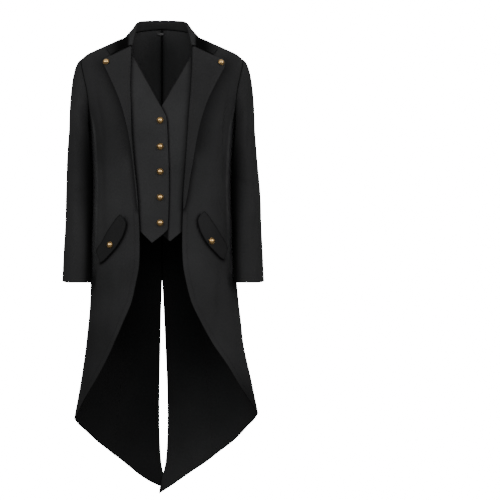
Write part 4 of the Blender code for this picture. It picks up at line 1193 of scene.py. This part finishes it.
def collar_points():
    """A grid of the band: from the neck seam up, over the roll and down to the leaf's edge."""
    quarter = np.linspace(0, 1, 5)
    back_neck, front_neck = along_edge(BACK_NECK, quarter, False), along_edge(FRONT_NECK, quarter, True)
    turn = np.concatenate([back_neck[0][::-1], front_neck[0][1:]])
    fall = np.concatenate([back_neck[2][::-1], front_neck[2][1:]])
    neckline, normals = surface(turn, fall), body_normal(turn, fall)
    inwards = unit(np.cross(normals, tangents(neckline)))
    to_middle = -neckline * (1, 1, 0) + (0, 0, NECK_MIDDLE_UP)
    inwards *= np.sign(np.sum(inwards * to_middle, axis=-1, keepdims=True))
    creases = np.array([row[:3] for row in COLLAR], float)
    running = tangents(creases)
    running[0] = (1, 0, 0)
    edges = np.array([
        laid(row.edge_x, row.edge_z, row.front, LEAF_OUT if i < LAID_STATION else LEAF_EDGE_OUT)[0]
        for i, row in enumerate(COLLAR)
    ])
    ups = -unit(unit(neckline - creases) + unit(edges - creases))
    ups[1:-1] = ups[:-2] + ups[1:-1] * 2 + ups[2:]
    ups = unit(ups - running * np.sum(ups * running, axis=-1, keepdims=True))
    rows = []
    for start, lift, inward, crease, run, up, edge, row in zip(
            neckline, normals, inwards, creases, running, ups, edges, COLLAR):
        stand = unit(start - crease)
        out = np.cross(up, run)
        upright, level = abs(stand @ lift), max(-stand @ inward, 0)
        start = start + inward * (NECK_SEAM + COLLAR_CLOTH * upright) - lift * CLOTH * level
        before, after = crease - out * COLLAR_ROLL, crease + out * COLLAR_ROLL
        leaf_points = [
            after * (1 - t) + edge * t + out * LEAF_BOW * full
            for t, full in LEAF_BOWED
        ]
        if len(rows) >= LAID_STATION:
            leaf_points = [
                laid(row.foot_x + (row.edge_x - row.foot_x) * t,
                     row.foot_z + (row.edge_z - row.foot_z) * t, row.front, high)[0]
                for t, high in LEAF_LAID
            ]
            turned = after * (1 - LEAF_TURN) + leaf_points[0] * LEAF_TURN + out * LEAF_TURN_OUT
            leaf_points.insert(0, turned)
        rows.append([
            start,
            (start + before) / 2 - out * STAND_HOLLOW,
            before,
            *[crease + COLLAR_ROLL * (a * up + b * out) for a, b in ROLL_ROUND],
            after,
            *leaf_points,
            edge,
        ])
    left = np.array(rows)
    return np.concatenate([(left * (-1, 1, 1))[:0:-1], left])


points = collar_points()
outwards = np.cross(np.gradient(points, axis=0), np.gradient(points, axis=1))
points, outwards = (finer(finer(part, 5, 0), 4, 1) for part in (points, outwards))
across, z = np.abs(points[..., 0]), points[..., 2]
shaded = LEAF_DEEP - LEAF_POINT_LESS * smoothstep(across, *LEAF_POINT_X)
shaded = shaded * smoothstep(across, *LEAF_SHADE_X) * smoothstep(z, *LEAF_SHADE_Z)
shaded[:, :LEAF_COLUMN] = 0
piece = cloth_wall("collar_cloth", points, COLLAR_CLOTH, outwards, ["first"],
                   ["last", "top", "bottom"], coat_twill, shaded=shaded)
hung(piece, "collar", (0.42, 0.105), 0.0297, ["back_left_cloth", "back_right_cloth"])


# ------------------------------------------------------------------ lapels
# Two peaked lapels of the same twill, turned back at the crease with a soft roll; their top
# edge meets the collar's end in a notch.

LAPEL_OUT = 4.0
LAPEL_SHOULDER_OUT = 1.0
LAPEL_FLAT_WIDTH = 14
LAPEL_NARROW = 0.25
LAPEL_NARROW_ROLL = 0.1
LAPEL_SHOULDER_Z = (-150, -90)
# Painted shade over all the lapel
LAPEL_PAINTED_SHADE = 0.07
LAPEL_ROLL = table(
    "share inwards out",
    (0, 2.9, 0.0), (0, 2.5, 3.6), (0.02, 0.0, 6.0), (0.14, 0.0, 5.2), (0.32, 0.0, 4.3),
    (0.52, 0.0, 4.0), (0.72, 0.0, 4.2), (0.88, 0.0, 4.8), (1, 0.0, 5.6),
)


def lapel(sign):
    """One lapel from the crease to its edge, its roll shrinking where it narrows to the waist."""
    rows = np.array(LEFT_LAPEL if sign > 0 else RIGHT_LAPEL, float)
    level = even_places(97, len(rows), 0.1, 0.04)
    crease_z, edge_x, edge_z = through(np.arange(len(rows)), rows)(level).T
    roll = np.array(LAPEL_ROLL, float)
    place = even_places(33, len(roll), 0.2, 0.1)
    share, inwards, out = np.stack([np.interp(place, np.arange(len(roll)), roll[:, k]) for k in range(3)])
    crease_x = curve(front_edge(sign > 0), "z", "x")(crease_z)
    width = edge_x - crease_x
    rolled = np.clip(width / LAPEL_FLAT_WIDTH - LAPEL_NARROW, 0, 1)[:, None]
    inwards = inwards * (rolled + LAPEL_NARROW_ROLL * (1 - rolled))
    x = crease_x[:, None] + width[:, None] * share - inwards
    z = crease_z[:, None] + (edge_z - crease_z)[:, None] * share
    out = LAPEL_OUT + (out - LAPEL_OUT) * rolled
    out = out + LAPEL_SHOULDER_OUT * smoothstep(z, *LAPEL_SHOULDER_Z)
    return laid(x * sign, z, True, out)


LAPEL_CUT = {"left": ((0.108, 0.45), 0.0209), "right": ((0.09, 0.45), 0.0133)}
for side, sign in SIDES:
    points, normals = lapel(sign)
    piece = cloth_wall(f"lapel_{side}_cloth", points, CLOTH, normals, ["first"],
                       ["last", "top", "bottom"], coat_twill, shaded=LAPEL_PAINTED_SHADE)
    hung(piece, f"lapel_{side}", *LAPEL_CUT[side], [f"front_{side}_cloth"])


# ------------------------------------------------------------------ pocket flaps
# Two slanted flaps of doubled twill, sewn along their upper edge and held down by one button.

FLAP_OUT = (3.2, 4.3, 4.1, 4.0, 4.3, 4.8)
# Painted shade over each flap, deeper on the right, and deeper still along its free edge
FLAP_PAINTED_SHADE = {"left": 0.22, "right": 0.38}
FLAP_RIM_SHADE = 0.55
FLAP_RIM_MM = (4, 0.5)

for side, sign in SIDES:
    rows = finer(np.array(FLAP, float), 6, 0)
    share = stations(16, 50)
    x = rows[:, :1] * (1 - share) + rows[:, 2:3] * share
    z = rows[:, 1:2] * (1 - share) + rows[:, 3:] * share + (LEFT_FLAP_UP if sign > 0 else 0)
    out = np.interp(share * 5, np.arange(6), FLAP_OUT) * np.ones_like(x)
    points, normals = laid(x * sign, z, True, out)
    grids[f"pocket_flap_{side}"] = points
    run = run_lengths(points, 1)
    rim = smoothstep(run[:, -1:] - run, *FLAP_RIM_MM)
    piece = cloth_wall(f"pocket_flap_{side}_cloth", points, CLOTH, normals, ["first"],
                       ["last", "top", "bottom"], coat_twill,
                       shaded=FLAP_PAINTED_SHADE[side] + FLAP_RIM_SHADE * rim)
    hung(piece, f"pocket_flap_{side}", (0.053, 0.155), 0.0064, [f"front_{side}_cloth"])


# ------------------------------------------------------------------ back belt
# A short half belt of doubled twill across the back waist, rounded at both ends and held by
# its two buttons.

BELT_LENGTH = 180
BELT_HEIGHT = 40
BELT_Z = -406
BELT_SAG = 3
BELT_OUT = 4.4
BELT_CROWN = 0.8
BELT_SQUARE = 9
BELT_END = 0.03
BELT_EASE = 0.35

share = 2 * stations(60, 180) - 1
along = np.sin(share * math.pi / 2) * BELT_EASE + share * (1 - BELT_EASE)
up = 0.5 - stations(14, 40)[:, None]
tall = BELT_HEIGHT * ((1 - BELT_END) * (1 - np.abs(along) ** BELT_SQUARE) ** 0.5 + BELT_END)
x = along * BELT_LENGTH / 2 * np.ones_like(up)
z = BELT_Z + up * tall + BELT_SAG * (along**2 - 0.5)
points, normals = laid(x, z, False, BELT_OUT + BELT_CROWN * np.cos(up * math.pi) * np.ones_like(x))
grids["back_belt"] = points
piece = cloth_wall("back_belt_cloth", points, CLOTH, normals, [],
                   ["first", "last", "top", "bottom"], coat_twill)
hung(piece, "back_belt", (0.182, 0.04), 0.007, ["back_left_cloth", "back_right_cloth"])


# ------------------------------------------------------------------ neck label
# A small blank satin label, stitched inside the back just under the collar seam.

LABEL_WIDTH = 17
LABEL_HEIGHT = 6
LABEL_CLOTH = 0.6
LABEL_X = -4.5
LABEL_Z = 2
LABEL_IN = -2.9
SATIN_PITCH = 0.00035

satin, tree, shader = new_finish("label_satin", Roughness=0.42, Specular_IOR_Level=0.5)
flat = shade(tree, "ShaderNodeUVMap", {"uv_map": "cloth"}, {})
across = shade(tree, "ShaderNodeSeparateXYZ", {}, {0: flat})
float_threads = (across * (2 * math.pi / SATIN_PITCH)).maths("SINE")
wear(tree, shader,
     Base_Color=blend(tree, 0.5 + float_threads * 0.4, (0.060, 0.060, 0.062), (0.095, 0.095, 0.098)),
     Normal=bumped(tree, float_threads * 0.3, 0.5, 0.0002))

x = LABEL_X + LABEL_WIDTH * (stations(14, 17) - 0.5)
z = LABEL_Z + LABEL_HEIGHT * (0.5 - stations(6, 6))[:, None]
points, normals = laid(x, z, False, LABEL_IN)
piece = cloth_wall("neck_label_cloth", points, LABEL_CLOTH, normals,
                   [], ["first", "last", "top", "bottom"], satin)
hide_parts("neck_label")


# ------------------------------------------------------------------ machine stitching
# Rows of black thread: along the turned hems and the vent on both faces, round the waistcoat's
# edges, the flaps and the half belt.

STITCH_PITCH = 2.9
STITCH_LENGTH = 2.3
THREAD = 0.42
THREAD_OUT = 0.05

thread, tree, shader = new_finish("black_thread", Roughness=0.6, Specular_IOR_Level=0.12)
ply = noise(tree, shade(tree, "ShaderNodeTexCoord", {}, {}, "Object"), 900.0)
wear(tree, shader, Base_Color=blend(tree, ply, (0.004, 0.004, 0.004), (0.012, 0.012, 0.0125)))


def new_tree(name, **sockets):
    """An empty tree of Geometry Nodes with these inputs, their names for a modifier, their wires."""
    tree = bpy.data.node_groups.new(name, "GeometryNodeTree")
    given = {
        label: tree.interface.new_socket(label, in_out="INPUT", socket_type=f"NodeSocket{kind}")
        for label, kind in sockets.items()
    }
    tree.interface.new_socket("Geometry", in_out="OUTPUT", socket_type="NodeSocketGeometry")
    start = tree.nodes.new("NodeGroupInput")
    wires = {label: Wire(tree, start.outputs[label]) for label in sockets}
    return tree, {label: socket.identifier for label, socket in given.items()}, wires


def end_tree(tree, solid, finish):
    """Gives a tree's mesh its finish and makes it the tree's result."""
    solid = shade(tree, "GeometryNodeSetMaterial", {}, {"Geometry": solid, "Material": finish})
    tree.links.new(solid.socket, tree.nodes.new("NodeGroupOutput").inputs[0])


def grown(name, mesh, tree, given, inputs):
    """A plain mesh piece of what a tree makes of this mesh with these inputs."""
    piece = bpy.data.objects.new(name, mesh)
    bpy.context.scene.collection.objects.link(piece)
    modifier = piece.modifiers.new(tree.name, "NODES")
    modifier.node_group = tree
    for label, value in inputs.items():
        modifier[given[label]] = value
    made = bpy.data.meshes.new_from_object(
        piece.evaluated_get(bpy.context.evaluated_depsgraph_get()))
    piece.modifiers.clear()
    piece.data = made
    made.name = name
    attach(piece, "root")
    return piece


def stitch_tree():
    """Stitches laid end to end along the edges of a mesh."""
    tree, given, wires = new_tree("stitch_rows", Geometry="Geometry", Pitch="Float", Length="Float",
                                  Thickness="Float", Thread="Material")
    row = shade(tree, "GeometryNodeMeshToCurve", {}, {0: wires["Geometry"]})
    row = shade(tree, "GeometryNodeResampleCurve", {"mode": "LENGTH"}, {
        "Curve": row, "Length": wires["Pitch"]})
    bead = shade(tree, "GeometryNodeMeshIcoSphere", {}, {"Radius": 0.5, "Subdivisions": 1})
    tangent = shade(tree, "GeometryNodeInputTangent", {}, {})
    turn = shade(tree, "FunctionNodeAlignRotationToVector", {"axis": "X"}, {"Vector": tangent})
    size = shade(tree, "ShaderNodeCombineXYZ", {}, {
        0: wires["Length"], 1: wires["Thickness"], 2: wires["Thickness"]})
    laid_out = shade(tree, "GeometryNodeInstanceOnPoints", {}, {
        "Points": row, "Instance": bead, "Rotation": turn, "Scale": size})
    solid = shade(tree, "GeometryNodeRealizeInstances", {}, {0: laid_out})
    solid = shade(tree, "GeometryNodeSetShadeSmooth", {}, {0: solid})
    end_tree(tree, solid, wires["Thread"])
    return tree, given


def stitched(name, lines):
    """One mesh of stitches along these lines of points in mm."""
    points = np.concatenate(lines) * MM
    edges = []
    first = 0
    for line in lines:
        edges += [(first + k, first + k + 1) for k in range(len(line) - 1)]
        first += len(line)
    mesh = bpy.data.meshes.new(name)
    mesh.from_pydata(points.tolist(), edges, [])
    grown(name, mesh, *stitch_tree(), {
        "Pitch": STITCH_PITCH * MM, "Length": STITCH_LENGTH * MM, "Thickness": THREAD * MM,
        "Thread": thread})


def inset(points, side, by):
    """The line on a grid of points that runs by mm inside one of its sides."""
    grid = {
        "bottom": points,
        "top": points[::-1],
        "first": points.transpose(1, 0, 2),
        "last": points[:, ::-1].transpose(1, 0, 2),
    }[side]
    run = run_lengths(grid, 0)
    return np.array([
        [np.interp(by, run[:, j], grid[:, j, k]) for k in range(3)] for j in range(grid.shape[1])
    ])


HEM_STITCH = 14
VENT_STITCH_BELOW = 8
WRIST_STITCH = 22
EDGE_STITCH = 4.5
FRONT_STITCH_Z = -480


def both_faces(line, normals):
    """A seam's line on the outside of the coat's cloth and the same line on its inside."""
    return [line + normals * THREAD_OUT, line - normals * (CLOTH + THREAD_OUT)]


def line_normals(grid, line):
    """The cloth's outward normals beside a line that lies on its grid."""
    normals = unit(np.cross(np.gradient(grid, axis=0), np.gradient(grid, axis=1))).reshape(-1, 3)
    flat = grid.reshape(-1, 3)
    return np.array([normals[np.argmin(np.sum((flat - point) ** 2, axis=1))] for point in line])


lines = []
for side, sign in SIDES:
    grid = grids[f"back_{side}"]
    hem = inset(grid, "bottom", HEM_STITCH)
    vent = inset(grid, "last", HEM_STITCH)
    hem = hem[np.abs(hem[:, 0] - SWAY) > 2 * HEM_STITCH]
    vent = vent[(vent[:, 2] < VENT[1].z - VENT_STITCH_BELOW) & (vent[:, 2] > hem[-1, 2])]
    for line in (hem, vent):
        lines += both_faces(line, -sign * line_normals(grid, line))
    for name, hemmed in (("side_back", "bottom"), ("front", "last")):
        grid = grids[f"{name}_{side}"]
        line = inset(grid, hemmed, HEM_STITCH)
        line = line[line[:, 2] < FRONT_STITCH_Z]
        lines += both_faces(line, -sign * line_normals(grid, line))
    for name in ("top_sleeve", "under_sleeve"):
        grid = grids[f"{name}_{side}"]
        line = inset(grid, "bottom", WRIST_STITCH)
        lines += both_faces(line, -sign * line_normals(grid, line))[:1]
stitched("coat_hem_stitches", lines)


def edge_rows(grid, sides, by, facing):
    """Rows of stitches this far inside some sides of a laid piece, on its outside only."""
    rows = []
    for side in sides:
        line = inset(grid, side, by)
        steps = np.linalg.norm(np.diff(line, axis=0), axis=-1)
        run = np.concatenate([[0], np.cumsum(steps)])
        line = line[(run >= by) & (run <= run[-1] - by)]
        rows.append(line + facing * line_normals(grid, line) * THREAD_OUT)
    return rows


lines = []
for side, sign in SIDES:
    lines += edge_rows(grids[f"pocket_flap_{side}"], ("last", "top", "bottom"), EDGE_STITCH, sign)
lines += edge_rows(grids["back_belt"], ("top", "bottom", "first", "last"), EDGE_STITCH, -1)
stitched("flap_and_belt_stitches", lines)
lines = []
for name, sign in (("vest_right", -1), ("vest_left", 1)):
    lines += edge_rows(grids[name], ("last", "top"), EDGE_STITCH, sign)
stitched("waistcoat_stitches", lines)


# ------------------------------------------------------------------ buttons
# Seventeen cast buttons in antique gold: a domed middle inside a raised rim, the groove between them
# darkened by patina, with painted shade round the rim, under it and on faces turned downwards, each
# standing on a short shank sewn to the cloth.

LAID_ON = 0.3
BUTTON = 18
CUFF_BUTTON = 15
VEST_BUTTON_X = -5
VEST_BUTTON_Z = (-239, -311, -379.5, -449.6, -519.5)
FLAP_BUTTONS = ((133.5, -569.5), (-140.5, -580))
LAPEL_BUTTONS = ((159.5, -83.5), (-150.5, -82))
BELT_BUTTON_X = 71
CUFF_BUTTON_ANGLE = 288
CUFF_BUTTON_RISES = (30, 56.5, 83)
LAPEL_BUTTON_OUT = 5.7
FLAP_BUTTON_OUT = 3.9
BELT_BUTTON_OUT = BELT_OUT + 1.2
# The third column darkens each ring: patina in the groove, painted shade round the rim and under it
BUTTON_PROFILE = table(
    "radius rise dirt",
    (0.0, 0.0, 0.6), (0.24, 0.0, 0.6), (0.26, 0.012, 0.6), (0.26, 0.06, 1.0), (0.30, 0.075, 1.0),
    (0.88, 0.085, 0.8), (0.955, 0.095, 0.7), (0.99, 0.115, 0.6), (1.0, 0.140, 0.5),
    (0.99, 0.160, 0.45), (0.965, 0.170, 0.5), (0.935, 0.166, 0.8), (0.91, 0.156, 1.0),
    (0.89, 0.158, 1.0), (0.87, 0.175, 0.9), (0.845, 0.215, 0.5), (0.805, 0.270, 0.2),
    (0.74, 0.330, 0.05), (0.645, 0.388, 0.0), (0.52, 0.440, 0.0), (0.37, 0.480, 0.0),
    (0.19, 0.506, 0.0), (0.0, 0.515, 0.0),
)
BUTTON_SIDES = 48


def turned_button():
    """A button of unit diameter standing on its shank, turned about Z."""
    rows = np.array(BUTTON_PROFILE, float)
    around = np.radians(np.arange(BUTTON_SIDES) * 360 / BUTTON_SIDES)
    radius, rise, dirt = rows[1:-1].T
    ring = np.stack([np.cos(around), np.sin(around)], axis=-1)
    points = [(0, 0, rows[0, 1])]
    for r, h in zip(radius, rise):
        points += [(x * r / 2, y * r / 2, h) for x, y in ring]
    points.append((0, 0, rows[-1, 1]))
    last = len(points) - 1
    faces = []
    for k in range(BUTTON_SIDES):
        n = (k + 1) % BUTTON_SIDES
        faces.append((0, 1 + n, 1 + k))
        faces.append((last, last - BUTTON_SIDES + k, last - BUTTON_SIDES + n))
        for level in range(len(radius) - 1):
            here, above = 1 + level * BUTTON_SIDES, 1 + (level + 1) * BUTTON_SIDES
            faces.append((here + k, here + n, above + n, above + k))
    mesh = bpy.data.meshes.new("turned_button")
    mesh.from_pydata(points, [], faces)
    mesh.shade_smooth()
    shadowed = np.concatenate([[rows[0, 2]], np.repeat(dirt, BUTTON_SIDES), [rows[-1, 2]]])
    mesh.attributes.new("dirt", "FLOAT", "POINT").data.foreach_set("value", shadowed)
    return bpy.data.objects.new("turned_button", mesh)


gold, tree, shader = new_finish("antique_gold", Metallic=1.0)
place = shade(tree, "ShaderNodeTexCoord", {}, {}, "Object")
dirt = painted(tree, "dirt")
tarnish, scuffs = noise(tree, place, 160.0, 3.0), noise(tree, place, 1100.0)
# Painted shade on faces turned downwards: a dark band below the dome's middle, lighter at the bottom
facing = shade(tree, "ShaderNodeNewGeometry", {}, {}, "Normal")
upwards = shade(tree, "ShaderNodeSeparateXYZ", {}, {"Vector": facing}, "Z")
under = eased(tree, upwards, -0.02, -0.2, 0.0, 1.0)
lowest = eased(tree, upwards, -0.24, -0.5, 0.0, 1.0)
patina_and_painted_shade = (dirt + under * (0.72 - lowest * 0.36) * (1 - dirt)) * 0.92
brass = blend(tree, tarnish, (0.56, 0.31, 0.1), (0.86, 0.6, 0.27))
wear(tree, shader,
     Base_Color=blend(tree, patina_and_painted_shade, brass, (0.018, 0.011, 0.006)),
     Roughness=0.2 + tarnish * 0.14 + dirt * 0.35,
     Normal=bumped(tree, scuffs * 0.4 + tarnish * 0.3, 0.35, 0.0003))


def button_tree():
    """A button on each point, its axis along the point's axis and as wide as its width."""
    tree, given, wires = new_tree("buttons_on_points", Geometry="Geometry", Button="Object",
                                  Finish="Material")
    shape = shade(tree, "GeometryNodeObjectInfo", {}, {"Object": wires["Button"]}, "Geometry")
    axis = shade(tree, "GeometryNodeInputNamedAttribute", {"data_type": "FLOAT_VECTOR"},
                 {"Name": "axis"}, "Attribute")
    width = shade(tree, "GeometryNodeInputNamedAttribute", {"data_type": "FLOAT"},
                  {"Name": "width"}, "Attribute")
    turn = shade(tree, "FunctionNodeAlignRotationToVector", {"axis": "Z"}, {"Vector": axis})
    put = shade(tree, "GeometryNodeInstanceOnPoints", {}, {
        "Points": wires["Geometry"], "Instance": shape, "Rotation": turn, "Scale": width})
    end_tree(tree, shade(tree, "GeometryNodeRealizeInstances", {}, {0: put}), wires["Finish"])
    return tree, given


one_button = turned_button()


def buttons(name, nodes, feet, axes, width):
    """Buttons on these feet in mm, in place of their CAD nodes."""
    feet, axes = np.array(feet, float), unit(np.array(axes, float))
    mesh = bpy.data.meshes.new(name)
    mesh.from_pydata(((feet + axes * LAID_ON) * MM).tolist(), [], [])
    mesh.attributes.new("axis", "FLOAT_VECTOR", "POINT").data.foreach_set("vector", axes.ravel())
    mesh.attributes.new("width", "FLOAT", "POINT").data.foreach_set(
        "value", np.full(len(feet), width * MM))
    piece = grown(name, mesh, *button_tree(), {"Button": one_button, "Finish": gold})
    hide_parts(*nodes)


def sleeve_normal(angle, way, sign):
    """The way out of the sleeve at a place on it."""
    around = sleeve_surface(angle + 0.3, way, sign) - sleeve_surface(angle - 0.3, way, sign)
    down = sleeve_surface(angle, way + 1, sign) - sleeve_surface(angle, way - 1, sign)
    return unit(np.cross(around, down)) * sign


heights = np.array(VEST_BUTTON_Z, float)
feet, axes = laid(np.full(heights.shape, float(VEST_BUTTON_X)), heights, True, VEST_OUT)
buttons("waistcoat_buttons", [f"vest_button_{n}" for n in range(1, len(heights) + 1)],
        feet, axes, BUTTON)

BELT_BUTTONS = ((BELT_BUTTON_X, BELT_Z), (-BELT_BUTTON_X, BELT_Z))
nodes, feet, axes = [], [], []
for name, places, in_front, out in (
    ("lapel_button", LAPEL_BUTTONS, True, LAPEL_BUTTON_OUT),
    ("flap_button", FLAP_BUTTONS, True, FLAP_BUTTON_OUT),
    ("belt_button", BELT_BUTTONS, False, BELT_BUTTON_OUT),
):
    for side, (x, z) in zip(("left", "right"), places):
        foot, axis = laid(x, z, in_front, out)
        nodes.append(f"{name}_{side}")
        feet.append(foot)
        axes.append(axis)
buttons("coat_buttons", nodes, feet, axes, BUTTON)

nodes, feet, axes = [], [], []
for side, sign in SIDES:
    for number, rise in enumerate(CUFF_BUTTON_RISES, 1):
        nodes.append(f"cuff_button_{side}_{number}")
        feet.append(sleeve_surface(CUFF_BUTTON_ANGLE, SLEEVE_LENGTH - rise, sign))
        axes.append(sleeve_normal(CUFF_BUTTON_ANGLE, SLEEVE_LENGTH - rise, sign))
buttons("cuff_buttons", nodes, feet, axes, CUFF_BUTTON)
bpy.data.objects.remove(one_button)


# ------------------------------------------------------------------ camera, light and floor
# A plain pale floor under soft white studio light, and the long lens that looks level at the front.

CAMERA_Z = -0.594
CAMERA_AWAY = 22.92
LENS_MM = 600
SENSOR_MM = 36
OFF_CENTRE = 0.176

lens = bpy.data.cameras.new("camera")
lens.sensor_width = SENSOR_MM
lens.lens = LENS_MM
lens.clip_end = 100
camera = bpy.data.objects.new("camera", lens)
camera.location = (0, -CAMERA_AWAY, CAMERA_Z)
camera.rotation_euler = (math.radians(90), 0, -math.atan(OFF_CENTRE * SENSOR_MM / LENS_MM))
bpy.context.scene.collection.objects.link(camera)
bpy.context.scene.camera = camera

WHITE_TO_CAMERA = 16.5
STUDIO_LIGHT = 0.72
LIGHT_FROM_ABOVE = 0.42
FLOOR_Z = -1.42
FLOOR_REACH = 30

world = bpy.data.worlds.new("studio")
world.use_nodes = True
tree = world.node_tree
seen = shade(tree, "ShaderNodeLightPath", {}, {}, "Is Camera Ray")
way = shade(tree, "ShaderNodeTexCoord", {}, {}, "Generated")
rising = Wire(tree, shade(tree, "ShaderNodeSeparateXYZ", {}, {0: way}).socket.node.outputs["Z"])
ambient = (rising * LIGHT_FROM_ABOVE + (1 - LIGHT_FROM_ABOVE)) * STUDIO_LIGHT
tree.links.new((seen * WHITE_TO_CAMERA + (1 - seen) * ambient).socket,
               tree.nodes["Background"].inputs["Strength"])
tree.nodes["Background"].inputs["Color"].default_value = (1, 1, 1, 1)
bpy.context.scene.world = world


def soft_light(name, place, aim, size, power):
    """A soft box of this width and height in metres, turned towards its aim."""
    lamp = bpy.data.lights.new(name, "AREA")
    lamp.shape, lamp.size, lamp.size_y = "RECTANGLE", *size
    lamp.energy = power
    made = bpy.data.objects.new(name, lamp)
    made.location = place
    towards = np.array(aim, float) - np.array(place, float)
    flat = math.hypot(towards[0], towards[1])
    made.rotation_euler = (math.atan2(flat, -towards[2]), 0, math.atan2(-towards[0], towards[1]))
    bpy.context.scene.collection.objects.link(made)


soft_light("left_box", (-3.0, -2.6, 1.2), (0, 0, -0.5), (1.6, 2.6), 68)
soft_light("right_box", (3.0, -2.6, 1.2), (0, 0, -0.5), (1.6, 2.6), 68)
soft_light("front_box", (0, -5.0, 1.6), (0, 0, -0.5), (2.4, 1.6), 52)

floor_mesh = bpy.data.meshes.new("floor")
corners = [(x * FLOOR_REACH, y * FLOOR_REACH, FLOOR_Z) for x, y in ((-1, -1), (1, -1), (1, 1), (-1, 1))]
floor_mesh.from_pydata(corners, [], [(0, 1, 2, 3)])
floor = bpy.data.objects.new("floor", floor_mesh)
pale, tree, shader = new_finish("pale_floor", Base_Color=(0.35, 0.35, 0.35, 1), Roughness=0.8)
glow = shade(tree, "ShaderNodeEmission", {}, {"Color": (1, 1, 1, 1), "Strength": WHITE_TO_CAMERA})
seen = shade(tree, "ShaderNodeLightPath", {}, {}, "Is Camera Ray")
mixed = shade(tree, "ShaderNodeMixShader", {}, {
    0: seen, 1: Wire(tree, shader.outputs[0]), 2: glow})
tree.links.new(mixed.socket, tree.nodes["Material Output"].inputs["Surface"])
floor_mesh.materials.append(pale)
bpy.context.scene.collection.objects.link(floor)
